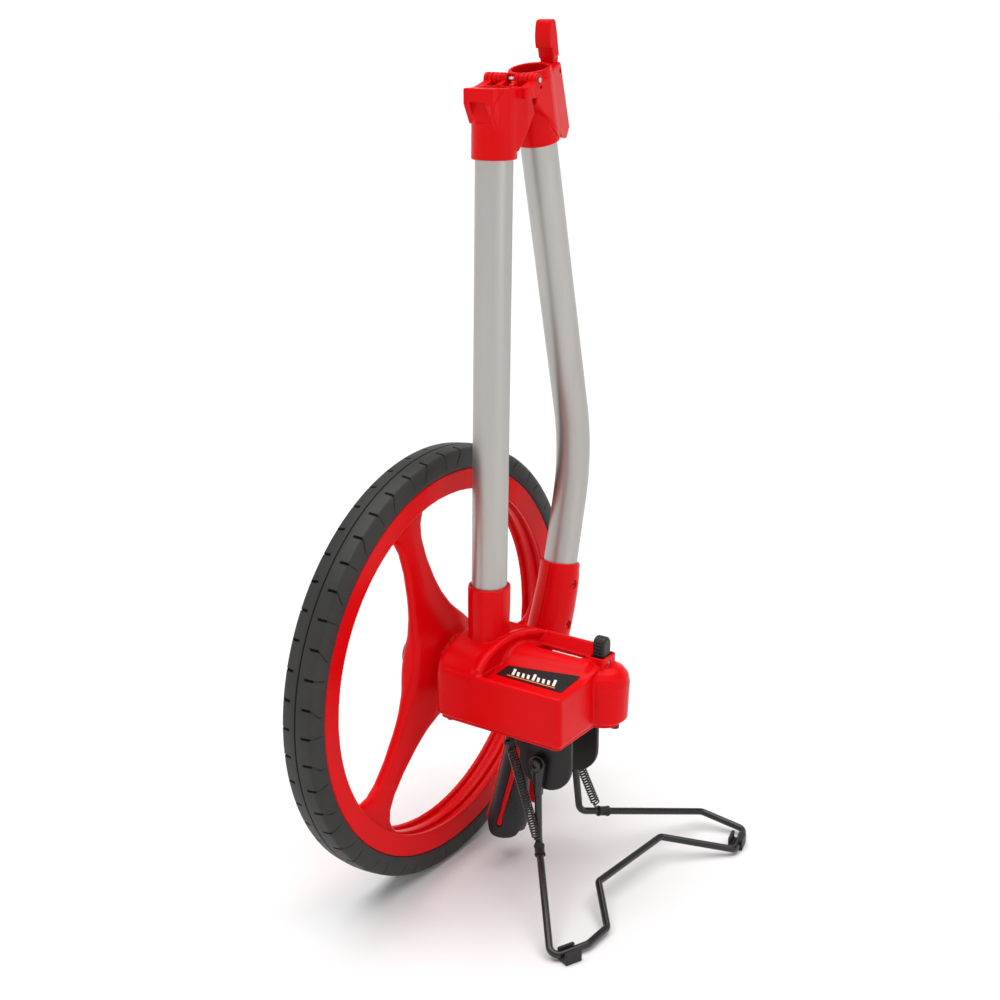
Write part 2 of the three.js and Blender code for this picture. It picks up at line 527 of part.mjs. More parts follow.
let upper = join(
  headRod(-48, -1, 14.6, 24, 15),
  prismY(outline([[1.6, -7], [6, -1], [30, -1], [30, -34], [UPPER_U, -46], [14, -46], [1.6, -26]]), 28.7, 58.7),
  prismY(outline([[28, -1], [46, -1], [50, -47], [41, -52], [28, -47]]), TUBE_Y - 8, TUBE_Y + 8));
for (const [y0, y1] of upperSpans) {
  upper = join(upper, knuckle(y0, y1), prismY(outline([[0, -3.9], [8, -12], [8, -2.4], [3.3, 1.4]]), y0, y1));
}
upper = cut(upper,
  headRod(-53, 0, TUBE_R + CLEAR, 24),
  prismY(outline([[38.4, 5], [54, 5], [54, -13], [38.4, -13]]), TUBE_Y - 5.3, TUBE_Y + 5.3),
  rodY(HINGE.x, 20, 70, HINGE.z, 1.9, 16));
for (const [y0, y1] of lowerSpans) upper = upper.subtract(rodY(HINGE.x, y0 - 0.2, y1 + 0.2, HINGE.z, 5.4, 24));
const LATCH = at(42.8, -6);
upper = upper.subtract(rodY(LATCH.x, 30, 58, LATCH.z, 1.7, 14));
add('upper_collar', upper, RED);

add('latch_lever', cut(
  join(
    prismY(outline([
      [39.6, -9], [45.6, -9], [49.6, 0], [50.4, 20], [50, 26], [44.6, 26], [41.6, 19], [40.4, 12], [39.6, 9.2],
      [42, 9.2], [42, -1], [39.6, -2],
    ]), TUBE_Y - 5, TUBE_Y + 5),
    prismY(outline([
      [42, 3], [49.7, 3], [50.4, 20], [50, 26], [44.6, 26], [41.4, 20], [39.6, 14], [39.2, 9.2], [42, 9.2],
    ]), TUBE_Y - 6, TUBE_Y + 6)),
  rodY(LATCH.x, 30, 58, LATCH.z, 1.7, 14)), RED);
add('latch_pin', rodY(LATCH.x, TUBE_Y - 7.6, TUBE_Y + 7.6, LATCH.z, 1.4, 14), STEEL);

const BEND = V(-116.7, TUBE_Y, 295.9);
const LOW_DIR = V(0.2419, 0, -0.9703);
const TUBE_END = BEND.clone().addScaledVector(LOW_DIR, 122);
const tubePath = rounded([at(UPPER_U, -7), BEND, TUBE_END], 146, 8);
const screwAt = [V(-91.5, 0, 200), V(-83.4, 0, 170.5)];
let bent = sweep(tubePath, TUBE_R, 24, V(0, 1, 0)).subtract(
  sweep([at(UPPER_U, 0), ...tubePath.slice(1, -1), BEND.clone().addScaledVector(LOW_DIR, 130)],
    TUBE_R - TUBE_WALL, 24, V(0, 1, 0)));
for (const p of screwAt) bent = bent.subtract(rodY(p.x, 20, 70, p.z, 1.9, 12));
add('handle_tube', bent, ALU);

// Handle body: two shells that clamp the tube and run on as a core inside the rubber grip.
const bodyPath = [
  [-96.4, 214.5], [-91.5, 194], [-79, 162], [-63, 131], [-51, 109], [-49.2, 104.5],
  [-42, 85], [-35.3, 66], [-28.8, 45], [-25.6, 28], [-24.7, 20], [-24.5, 14.4],
];
const bodyRadii = [
  [14.6, 14.6], [15.6, 15.2], [16.6, 15.6], [16, 15], [13.6, 13.4], [8, 8],
  [6.6, 6.6], [7.2, 7.2], [8.4, 7.8], [8.4, 7.8], [4.6, 4.2], [2.4, 2.2],
];
const inPlane = (pts) => pts.map(([x, z]) => V(x, TUBE_Y, z));
const bodyCore = sweep(inPlane(bodyPath), bodyRadii, 20, V(0, 1, 0)).subtract(
  sweep([BEND.clone(), TUBE_END.clone().addScaledVector(LOW_DIR, 0.6)], TUBE_R + CLEAR, 24, V(0, 1, 0)));
const shellHalf = (y0, y1) => {
  let s = bodyCore.intersect(box(-200, 50, y0, y1, 0, 300));
  for (const p of screwAt) {
    s = s.subtract(rodY(p.x, 20, 70, p.z, 1.9, 12));
    s = s.subtract(rodY(p.x, TUBE_Y + 13.4, 70, p.z, 3.6, 16));
  }
  return s;
};
const TRIGGER = V(-56.5, 0, 101);
const gripPath = [
  [-50.6, 104.4], [-47.4, 97], [-42, 85], [-35.5, 66], [-29.4, 46.5], [-26, 33], [-24.8, 25.5], [-24.6, 20],
];
const gripRadii = [
  [12.6, 12.4], [11.4, 11.2], [10.8, 10.5], [12.2, 11.2], [14.6, 12.6], [17.2, 14.2], [15.8, 13], [9.4, 8],
];
const widerBy = (pairs, d) => pairs.map(([a, b]) => [a + d, b + d]);
const coreGap = sweep(inPlane([...bodyPath.slice(4), [-24.4, 9]]),
  widerBy([...bodyRadii.slice(4), [2.4, 2.2]], 0.35), 20, V(0, 1, 0));
let grip = sweep(inPlane(gripPath), gripRadii, 20, V(0, 1, 0)).subtract(coreGap);

// Red inlays that run down the grip. Each entry is a station of the grip and the inlay's direction
// round it, in degrees from +X toward the flank: the left one near the palm, the right one further round.
const inlayAt = {
  left: [[1, 27], [2, 26], [3, 22], [4, 15], [5, 11]],
  right: [[1, 66], [2, 64], [3, 60], [4, 54], [5, 50]],
};
function inlay(side, r, over) {
  const path = inlayAt[side > 0 ? 'left' : 'right'].map(([i, a]) => V(
    gripPath[i][0] + (gripRadii[i][0] - 0.7) * Math.cos(rad(a)),
    TUBE_Y + side * (gripRadii[i][1] - 0.7) * Math.sin(rad(a)),
    gripPath[i][1]));
  path[0].addScaledVector(path[0].clone().sub(path[1]).normalize(), over);
  path[4].addScaledVector(path[4].clone().sub(path[3]).normalize(), over);
  return sweep(path, r, 8, V(0, 1, 0));
}
for (const [side, label] of [[1, 'left'], [-1, 'right']]) {
  grip = grip.subtract(inlay(side, 1.95, 0.4));
  add(`grip_stripe_${label}`, inlay(side, 1.6, 0), RED);
}
const triggerSlot = prismY([
  [-70, 112], [-50, 112], [-49, 104], [-50.4, 84], [-49.2, 72], [-49.2, 60], [-70, 60],
], TUBE_Y - 5, TUBE_Y + 5);
const pivotBore = rodY(TRIGGER.x, 30, 58, TRIGGER.z, 1.7, 12);
add('handle_shell_left', shellHalf(TUBE_Y + 0.15, 80).subtract(triggerSlot).subtract(pivotBore), RED);
add('handle_shell_right', shellHalf(0, TUBE_Y - 0.15).subtract(triggerSlot).subtract(pivotBore), RED);
add('grip_rubber', grip.subtract(triggerSlot).subtract(pivotBore), RUBBER);
add('trigger', cut(
  prismY([
    [-58.6, 105], [-53.6, 105], [-52.4, 99], [-54.2, 84], [-55.2, 62], [-56.2, 44], [-58, 29], [-61, 27.4],
    [-62.4, 32], [-60.8, 50], [-59.8, 70], [-60, 92],
  ], TUBE_Y - 4.6, TUBE_Y + 4.6),
  rodY(TRIGGER.x, 30, 58, TRIGGER.z, 1.7, 12)), RED);
add('trigger_pin', rodY(TRIGGER.x, TUBE_Y - 6.5, TUBE_Y + 6.5, TRIGGER.z, 1.35, 12), STEEL);
screwAt.forEach((p, i) => {
  const head = rodY(p.x, TUBE_Y + 13.7, TUBE_Y + 15, p.z, 3.2, 16);
  add(`handle_screw_${i + 1}`, join(head, rodY(p.x, TUBE_Y - 12, TUBE_Y + 14, p.z, 1.5, 12)), DARK);
});

export default object;
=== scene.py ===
import math

import bmesh
import bpy
import numpy as np
import openvdb as vdb
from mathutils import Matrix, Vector


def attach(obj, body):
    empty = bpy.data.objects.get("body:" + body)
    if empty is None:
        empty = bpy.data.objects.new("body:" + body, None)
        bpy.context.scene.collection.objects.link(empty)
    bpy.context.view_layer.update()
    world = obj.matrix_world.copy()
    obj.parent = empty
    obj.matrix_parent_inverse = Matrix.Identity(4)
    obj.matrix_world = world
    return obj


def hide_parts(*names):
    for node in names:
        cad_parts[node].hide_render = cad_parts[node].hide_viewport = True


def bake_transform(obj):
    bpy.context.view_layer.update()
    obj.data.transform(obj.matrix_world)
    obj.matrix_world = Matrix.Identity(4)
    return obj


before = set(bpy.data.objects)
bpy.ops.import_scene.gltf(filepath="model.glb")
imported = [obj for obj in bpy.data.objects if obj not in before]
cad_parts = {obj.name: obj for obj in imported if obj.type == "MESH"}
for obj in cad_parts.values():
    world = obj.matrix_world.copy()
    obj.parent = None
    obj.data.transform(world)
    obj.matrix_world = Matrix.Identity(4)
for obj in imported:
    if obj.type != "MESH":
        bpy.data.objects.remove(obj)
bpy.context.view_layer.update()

MM = 0.001

# ---- driving dimensions, shared with the CAD ------------------------------------------------
WHEEL_R = 159.0
SPOKE_AT = 71.5
TUBE_R = 12.5
TUBE_WALL = 1.5
TUBE_Y = 43.7
RAKE = math.tan(math.radians(-1.3))
RAKE_AT = (-4.2, 359.0)
HOUSE = dict(x0=-28.0, x1=40.0, y0=23.5, y1=128.0, z0=138.0, top=174.5)
SHAFT = (-9.0, 170.0)
LOBE = (-22.0, 126.0)
LOBE_R = 18.0
HINGE = (-29.3, 567.0)
FOLD = math.radians(13.5)
UPPER_U = 21.0
PIVOT = (92.0, 105.0)
CHEEKS = (4.0, -32.0)
LUGS = (9.6, -37.6)
WIRE_R = 2.6
ANCHOR = (73.0, 121.0)
RESET = (-20.6, 124.25, 180.0)
SCREWS = ((-91.5, 200.0), (-83.4, 170.5))
TRIGGER = (-56.5, 101.0)
COVER_SCREWS = ((30, 32.5), (30, 118), (-21.2, 31.8), (-22, 135.2))
HINGE_BORE = 1.9
PIN_BORE = 1.7
SCREW_BORE = 1.6


# ---- distance functions ---------------------------------------------------------------------
# A shape is a function of x, y, z arrays that gives the distance to its surface, negative inside.
def both(a, b, k=0.0):
    """Union, with a fillet of about k where the two meet."""
    if k <= 0:
        return np.minimum(a, b)
    h = np.maximum(k - np.abs(a - b), 0) / k
    return np.minimum(a, b) - h * h * k * 0.25


def common(a, b, k=0.0):
    """Intersection, with the edge rounded by about k."""
    return -both(-a, -b, k)


def minus(a, b, k=0.0):
    """a with b cut away, the edge rounded by about k."""
    return common(a, -b, k)


def away(u, v, centre):
    """Distance from a line that is square to the plane of u and v."""
    return np.hypot(u - centre[0], v - centre[1])


def inset(points, r):
    """The outline moved inward by r, corners mitred."""
    pts = [Vector((float(u), float(v))) for u, v in points]
    area = sum(a.x * b.y - b.x * a.y for a, b in zip(pts, pts[1:] + pts[:1]))
    turn = 1.0 if area > 0 else -1.0
    out = []
    for i, p in enumerate(pts):
        a = (p - pts[i - 1]).normalized()
        b = (pts[(i + 1) % len(pts)] - p).normalized()
        na = Vector((-a.y, a.x)) * turn
        nb = Vector((-b.y, b.x)) * turn
        mid = na + nb
        scale = max(mid.length_squared / 2, 0.25)
        out.append(tuple(p + mid * (r / scale)))
    return out


def outline(u, v, points, r=0.0):
    """Distance in a plane to a closed outline whose corners are rounded by r."""
    pts = inset(points, r) if r else points
    best = None
    sign = None
    for i, (ax, ay) in enumerate(pts):
        bx, by = pts[i - 1]
        ex, ey = bx - ax, by - ay
        wx, wy = u - ax, v - ay
        t = np.clip((wx * ex + wy * ey) / (ex * ex + ey * ey + 1e-12), 0, 1)
        q = (wx - ex * t) ** 2 + (wy - ey * t) ** 2
        c1, c2, c3 = v >= ay, v < by, ex * wy > ey * wx
        flip = np.where((c1 & c2 & c3) | ~(c1 | c2 | c3), -1.0, 1.0)
        best = q if best is None else np.minimum(best, q)
        sign = flip if sign is None else sign * flip
    return sign * np.sqrt(best) - r


def slab(d, w, lo, hi, r=0.0):
    """A plane shape d given thickness from lo to hi along w, with its rims rounded by r."""
    e = np.abs(w - (lo + hi) / 2) - (hi - lo) / 2
    a, b = d + r, e + r
    return np.minimum(np.maximum(a, b), 0) + np.hypot(np.maximum(a, 0), np.maximum(b, 0)) - r


def block(x, y, z, lo, hi, r=0.0):
    parts = [np.abs(c - (a + b) / 2) - (b - a) / 2 + r for c, a, b in zip((x, y, z), lo, hi)]
    far = np.sqrt(sum(np.maximum(p, 0) ** 2 for p in parts))
    return far + np.minimum(np.maximum(np.maximum(parts[0], parts[1]), parts[2]), 0) - r


def round_bar(u, v, w, cu, cv, r, lo, hi, edge=0.0):
    """A cylinder along w."""
    return slab(away(u, v, (cu, cv)) - r, w, lo, hi, edge)


def smooth_curve(points, n=6):
    """Catmull-Rom curve through points of any dimension."""
    p = [np.array(q, float) for q in points]
    p = [2 * p[0] - p[1]] + p + [2 * p[-1] - p[-2]]
    out = []
    for i in range(1, len(p) - 2):
        for t in np.arange(n) / n:
            a, b, c, d = p[i - 1:i + 3]
            out.append(0.5 * (2 * b + (c - a) * t + (2 * a - 5 * b + 4 * c - d) * t ** 2
                              + (3 * b - a - 3 * c + d) * t ** 3))
    out.append(p[-2])
    return out


def swept_body(x, y, z, stations, grow=0.0):
    """A body of elliptical sections. A station is x, z, in-plane radius, Y radius."""
    best = None
    for a, b in zip(stations, stations[1:]):
        ex, ez = b[0] - a[0], b[1] - a[1]
        t = np.clip(((x - a[0]) * ex + (z - a[1]) * ez) / (ex * ex + ez * ez), 0, 1)
        ra = a[2] + (b[2] - a[2]) * t + grow
        rb = a[3] + (b[3] - a[3]) * t + grow
        u = np.hypot(x - a[0] - ex * t, z - a[1] - ez * t) / ra
        if best is None:
            best, keep_a, keep_b = u, ra, rb
        else:
            closer = u < best
            best = np.where(closer, u, best)
            keep_a = np.where(closer, ra, keep_a)
            keep_b = np.where(closer, rb, keep_b)
    return (np.hypot(best, (y - TUBE_Y) / keep_b) - 1) * np.minimum(keep_a, keep_b)


def near_path(x, y, z, path):
    best = None
    for a, b in zip(path, path[1:]):
        e = b - a
        wx, wy, wz = x - a[0], y - a[1], z - a[2]
        t = np.clip((wx * e[0] + wy * e[1] + wz * e[2]) / float(e @ e), 0, 1)
        q = (wx - e[0] * t) ** 2 + (wy - e[1] * t) ** 2 + (wz - e[2] * t) ** 2
        best = q if best is None else np.minimum(best, q)
    return np.sqrt(best)


# ---- meshes ---------------------------------------------------------------------------------
def add_object(name, data):
    obj = bpy.data.objects.new(name, data)
    bpy.context.scene.collection.objects.link(obj)
    return obj


def make(name, points, faces, material, body, stands_for=(), normals=None, smooth=True):
    mesh = bpy.data.meshes.new(name)
    mesh.from_pydata((np.asarray(points, float) * MM).tolist(), [], [list(f) for f in faces])
    mesh.validate()
    mesh.polygons.foreach_set("use_smooth", [smooth] * len(mesh.polygons))
    if normals is not None and len(normals) == len(mesh.vertices):
        mesh.normals_split_custom_set_from_vertices(normals.tolist())
    mesh.materials.append(material)
    obj = add_object(name, mesh)
    if body:
        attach(obj, body)
    if stands_for:
        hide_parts(*stands_for)
    return obj


def carve(name, shape, lo, hi, step, material, body, stands_for=()):
    """Meshes a distance function inside a box, then moves each point onto the exact surface."""
    axes = [np.arange(a - 2 * step, b + 3 * step, step) for a, b in zip(lo, hi)]
    x, y, z = axes[0][:, None, None], axes[1][None, :, None], axes[2][None, None, :]
    field = np.broadcast_to(shape(x, y, z), [len(a) for a in axes])
    grid = vdb.FloatGrid(3 * step)
    grid.copyFromArray(np.ascontiguousarray(np.clip(field, -3 * step, 3 * step), dtype=np.float32))
    points, quads = grid.convertToQuads(isovalue=0.0)
    start = np.array([a[0] for a in axes])
    p = start + np.asarray(points, float) * step
    e = step * 0.15
    for _ in range(3):
        value = shape(p[:, 0], p[:, 1], p[:, 2])
        slope = np.stack([
            shape(p[:, 0] + e * (i == 0), p[:, 1] + e * (i == 1), p[:, 2] + e * (i == 2))
            - shape(p[:, 0] - e * (i == 0), p[:, 1] - e * (i == 1), p[:, 2] - e * (i == 2))
            for i in range(3)], 1) / (2 * e)
        size = np.maximum(np.linalg.norm(slope, axis=1, keepdims=True), 0.2)
        move = -value[:, None] * slope / size ** 2
        length = np.linalg.norm(move, axis=1, keepdims=True)
        p = p + move * np.minimum(1, step * 0.5 / np.maximum(length, 1e-9))
    normals = slope / np.maximum(np.linalg.norm(slope, axis=1, keepdims=True), 1e-9)
    quads = np.asarray(quads)
    a, b, c = p[quads[:, 0]], p[quads[:, 1]], p[quads[:, 2]]
    if np.einsum("ij,ij->i", np.cross(b - a, c - a), normals[quads[:, 0]]).sum() < 0:
        quads = quads[:, ::-1]
    return make(name, p, quads, material, body, stands_for, normals)


def circle(p, u, v, r, sides):
    """Points round p, in the plane of u and v."""
    turns = [2 * math.pi * k / sides for k in range(sides)]
    return [tuple(p + u * (r * math.cos(w)) + v * (r * math.sin(w))) for w in turns]


def band(i, j, n, flip=False):
    """Quads between ring i and ring j, of n points each."""
    quads = [(i * n + k, i * n + (k + 1) % n, j * n + (k + 1) % n, j * n + k) for k in range(n)]
    return [(a, d, c, b) for a, b, c, d in quads] if flip else quads


def lathe(profile, origin, axis, sides=64):
    """Points and faces of a closed body of revolution. A profile entry is (radius, along)."""
    axis = Vector(axis).normalized()
    side = axis.orthogonal().normalized()
    up = axis.cross(side)
    points, faces = [], []
    for i, (r, h) in enumerate(profile):
        points += circle(Vector(origin) + axis * h, side, up, r, sides)
        j = (i + 1) % len(profile)
        if r or profile[j][0]:
            faces += band(i, j, sides)
    return points, faces


def turned(name, profile, origin, axis, material, body, stands_for=(), sides=64):
    """A lathe piece, welded and shaded smooth below an angle."""
    obj = make(name, *lathe(profile, origin, axis, sides), material, body, stands_for)
    finish_mesh(obj, 40)


def finish_mesh(obj, soft=40, bevel=0.0):
    """Welds doubles, faces everything outward, and marks edges sharper than soft degrees."""
    bm = bmesh.new()
    bm.from_mesh(obj.data)
    bmesh.ops.remove_doubles(bm, verts=bm.verts, dist=2e-6)
    bmesh.ops.dissolve_degenerate(bm, edges=bm.edges, dist=1e-7)
    bmesh.ops.recalc_face_normals(bm, faces=bm.faces)
    bm.to_mesh(obj.data)
    bm.free()
    if bevel:
        mod = obj.modifiers.new("edge", "BEVEL")
        mod.width = bevel * MM
        mod.segments = 2
        mod.angle_limit = math.radians(soft)
        mod.harden_normals = True
    obj.data.polygons.foreach_set("use_smooth", [True] * len(obj.data.polygons))
    obj.data.set_sharp_from_angle(angle=math.radians(soft))


def frames(path):
    """Tangent, side and up at each point, without twist."""
    path = [Vector(p) for p in path]
    out = []
    ref = None
    for i in range(len(path)):
        t = (path[min(i + 1, len(path) - 1)] - path[max(i - 1, 0)]).normalized()
        ref = t.orthogonal() if ref is None else ref
        ref = (ref - t * ref.dot(t)).normalized()
        out.append((t, ref.copy(), t.cross(ref)))
    return out


def swept(path, radius, sides=16):
    """Points and faces of a round wire, with domed ends."""
    path = [Vector(p) for p in path]
    fr = frames(path)

    def dome(end, way, tilts):
        rings = []
        for a in tilts:
            c, s = math.cos(math.radians(a)), math.sin(math.radians(a))
            rings.append((path[end] + way * fr[end][0] * radius * s * 0.6, fr[end], radius * c))
        return rings

    stops = dome(0, -1, (80, 50, 25))
    stops += [(p, f, radius) for p, f in zip(path, fr)]
    stops += dome(-1, 1, (25, 50, 80))
    points, faces = [], []
    for p, (_, u, v), r in stops:
        points += circle(p, u, v, r, sides)
    last = len(stops) - 1
    for i in range(last):
        faces += band(i, i + 1, sides, flip=True)
    faces.append(tuple(range(sides)))
    faces.append(tuple(last * sides + k for k in reversed(range(sides))))
    return points, faces


def rounded(points, radii, steps=8):
    """Polyline with each inner corner turned into an arc."""
    pts = [Vector(p) for p in points]
    out = [pts[0]]
    for i in range(1, len(pts) - 1):
        p = pts[i]
        a, b = (pts[i - 1] - p).normalized(), (pts[i + 1] - p).normalized()
        half = math.acos(max(-1, min(1, a.dot(b)))) / 2
        room = min((pts[i - 1] - p).length, (pts[i + 1] - p).length) / 2
        run = min(radii[i - 1] / math.tan(half), room)
        r = run * math.tan(half)
        centre = p + (a + b).normalized() * (r / math.sin(half))
        v0, v1 = p + a * run - centre, p + b * run - centre
        total = math.pi - 2 * half
        for k in range(steps + 1):
            t = k / steps
            turned_by = v0 * math.sin((1 - t) * total) + v1 * math.sin(t * total)
            out.append(centre + turned_by / math.sin(total))
    out.append(pts[-1])
    return out


# ---- materials ------------------------------------------------------------------------------
def put(node, values):
    """Sets inputs of a shader node by name."""
    for key, value in values.items():
        node.inputs[key].default_value = value


def join(source, output, node, socket):
    source.id_data.links.new(source.outputs[output], node.inputs[socket])


def surface(name, colour, other, rough, grain, bump, metallic=0.0, coat=0.0, stretch=(1, 1, 1),
            cloud=18.0, ior=1.5, shine=0.5):
    """A solid finish: two colours in soft clouds, fine grain in the bump, and uneven gloss."""
    m = bpy.data.materials.new(name)
    m.use_nodes = True
    nt = m.node_tree
    bsdf = nt.nodes["Principled BSDF"]
    where = nt.nodes.new("ShaderNodeTexCoord")
    scale = nt.nodes.new("ShaderNodeMapping")
    put(scale, {"Scale": stretch})
    join(where, "Object", scale, "Vector")

    def noise(freq, detail):
        n = nt.nodes.new("ShaderNodeTexNoise")
        put(n, {"Scale": freq, "Detail": detail})
        join(scale, "Vector", n, "Vector")
        return n

    clouds, fine = noise(cloud, 4), noise(grain, 3)
    ramp = nt.nodes.new("ShaderNodeValToRGB")
    for k, (place, tone) in enumerate(((0.35, colour), (0.65, other))):
        ramp.color_ramp.elements[k].position = place
        ramp.color_ramp.elements[k].color = (*tone, 1)
    join(clouds, "Fac", ramp, "Fac")
    join(ramp, "Color", bsdf, "Base Color")
    gloss = nt.nodes.new("ShaderNodeMapRange")
    put(gloss, {"From Min": 0.3, "From Max": 0.7, "To Min": rough[0], "To Max": rough[1]})
    join(fine, "Fac", gloss, "Value")
    join(gloss, "Result", bsdf, "Roughness")
    relief = nt.nodes.new("ShaderNodeBump")
    put(relief, {"Strength": bump, "Distance": 0.0004})
    join(fine, "Fac", relief, "Height")
    join(relief, "Normal", bsdf, "Normal")
    put(bsdf, {"Metallic": metallic, "IOR": ior, "Coat Weight": coat, "Coat Roughness": 0.08,
               "Specular IOR Level": shine})
    return m


RED = surface("red_moulding", (0.68, 0.0008, 0.0030), (0.63, 0.0007, 0.0026), (0.28, 0.33), 160, 0.015,
              shine=0.10)
RED_SATIN = surface("red_satin", (0.60, 0.0016, 0.004), (0.55, 0.0014, 0.004), (0.36, 0.44), 300, 0.03,
                    shine=0.15)
TYRE = surface("tyre_rubber", (0.020, 0.0195, 0.0188), (0.029, 0.028, 0.0265), (0.44, 0.60), 900, 0.18,
               shine=0.3)
GRIP = surface("grip_rubber", (0.013, 0.0125, 0.0125), (0.020, 0.019, 0.019), (0.44, 0.58), 1500, 0.3,
               shine=0.3)
BLACK = surface("black_moulding", (0.010, 0.010, 0.010), (0.016, 0.016, 0.016), (0.36, 0.50), 900, 0.15,
                shine=0.35)
WIRE = surface("black_wire", (0.010, 0.0095, 0.0095), (0.017, 0.016, 0.016), (0.22, 0.28), 300, 0.02,
               shine=0.4, coat=0.1)
TUBE = surface("anodised_tube", (0.42, 0.405, 0.385), (0.46, 0.445, 0.425), (0.36, 0.46), 900, 0.05,
               metallic=0.9, stretch=(1, 1, 0.02), cloud=60)
STEEL = surface("plated_steel", (0.50, 0.50, 0.49), (0.62, 0.61, 0.59), (0.22, 0.36), 800, 0.06,
                metallic=1.0)
SPRING = surface("spring_steel", (0.03, 0.029, 0.028), (0.06, 0.058, 0.056), (0.25, 0.4), 900, 0.08,
                 metallic=0.7)
WHITE = surface("white_moulding", (0.78, 0.77, 0.74), (0.72, 0.71, 0.68), (0.36, 0.46), 500, 0.08)
LABEL = surface("label_film", (0.009, 0.009, 0.010), (0.013, 0.012, 0.013), (0.26, 0.34), 700, 0.03,
                shine=0.3)
MARK = surface("label_mark", (0.80, 0.80, 0.78), (0.74, 0.74, 0.72), (0.3, 0.36), 700, 0.03)
ACCENT = surface("label_accent", (0.80, 0.22, 0.03), (0.72, 0.18, 0.02), (0.3, 0.36), 700, 0.03)
CLEAR = surface("clear_window", (0.9, 0.93, 0.94), (0.95, 0.97, 0.98), (0.04, 0.09), 60, 0.02, ior=1.49)
put(CLEAR.node_tree.nodes["Principled BSDF"], {"Transmission Weight": 0.95})

# ---- wheel ----------------------------------------------------------------------------------
# Moulded tread: a fine centre groove, and on each side a slot every 7.2 degrees that crosses the
# crown and hooks round the shoulder. Grid columns follow the slots, so that their walls are crisp.
SIPES = 50
PITCH = 360 / SIPES
SLOT = 0.24
CREASE = 157.6
NEAR_PHASE, FAR_PHASE = 1.1, 2.3
TREAD = [
    (12.25, 143.6), (13.0, 144.4), (13.38, 146.5), (13.45, 150.0), (13.2, 153.4), (12.8, 155.0),
    (12.1, 156.5), (11.4, 157.35), (11.0, 157.7), (10.6, 157.95), (8.8, 158.25), (7.0, 158.45),
    (5.1, 158.7), (4.7, 158.75), (3.2, 158.88), (1.6, 158.97), (0.7, 158.95), (0.42, 158.5),
    (0.3, 157.2),
]


def hook(r, k):
    """Degrees slot k has turned at this radius. Every second slot turns below the shoulder."""
    return -2.2 * min(max((CREASE - r) / 7, 0), 1) if k % 2 else 0.0


def build_tyre():
    loop = TREAD + [(-y, r) for y, r in reversed(TREAD)]
    loop += [(-12.25, 143.55), (-4.1, 143.55), (-4.1, 141.6), (4.1, 141.6), (4.1, 143.55)]
    n_tread = 2 * len(TREAD)
    offsets = (-SLOT - 0.14, -SLOT, -0.07, 0.07, SLOT, SLOT + 0.14, 1.3, 2.5, 3.7, 4.9, 6.0)
    columns = [(k, o) for k in range(SIPES) for o in offsets]
    points = []
    for k, o in columns:
        for i, (y, r) in enumerate(loop):
            side = 0.5 + 0.5 * math.sin(max(-1, min(1, y / 3.0)) * math.pi / 2)
            phase = FAR_PHASE + (NEAR_PHASE - FAR_PHASE) * side
            t = min(max((o - SLOT - 0.14) / (PITCH - 2 * SLOT - 0.28), 0), 1)
            turn = (hook(r, k) * (1 - t) + hook(r, k + 1) * t) if i < n_tread else 0.0
            deep = 0.0
            if i < n_tread and abs(y) > 4.9 and r > 149:
                middle = abs(o) < 0.1
                wide = abs(o) < SLOT + 0.05 and abs(y) < 11.2
                if wide:
                    deep = 2.6 if middle or abs(o) < SLOT - 0.05 else 1.6
                elif middle:
                    deep = 0.9
            steep = max(0.0, min(1.0, (CREASE - r) / 5))
            rr = r - deep * (1 - 0.75 * steep)
            yy = y - math.copysign(deep * 0.75 * steep, y)
            a = math.radians(phase + k * PITCH + o + turn)
            points.append((rr * math.cos(a), yy, WHEEL_R + rr * math.sin(a)))
    faces = []
    for j in range(len(columns)):
        faces += band(j, (j + 1) % len(columns), len(loop), flip=True)
    obj = make("tyre_tread", points, faces, TYRE, "wheel", ["tyre"])
    finish_mesh(obj, 36)


build_tyre()

RIM_PROFILE = [
    (143.2, 4.6), (143.2, 12.4), (127.7, 11.5), (128.3, 8.6), (130.8, 7.6), (130.8, 3.6),
    (128.2, 2.6), (128.2, -2.6), (130.8, -3.6), (130.8, -7.6), (128.3, -8.6), (127.7, -11.5),
    (143.2, -12.4), (143.2, -4.6), (141.3, -4.4), (141.3, 4.4),
]
HUB_PROFILE = [
    (0, -17), (17, -17), (19.5, -15.5), (27, -9), (34, -4), (34, 4), (27, 11), (22.5, 15), (21, 18),
    (0, 18),
]
OPENING = ((37, 0), (38.5, 14), (44, 28), (54, 39.5), (68, 47), (86, 51.5), (103, 53.0), (113, 52.4),
           (120, 50.6), (124.4, 48.0), (127, 45.0))


def opening_outline(centre):
    pts = list(OPENING)
    pts += [(128.4, a) for a in range(42, -43, -4)]
    pts += [(r, -a) for r, a in reversed(OPENING[1:])]
    return [(r * math.cos(math.radians(centre + a)), WHEEL_R + r * math.sin(math.radians(centre + a)))
            for r, a in pts]


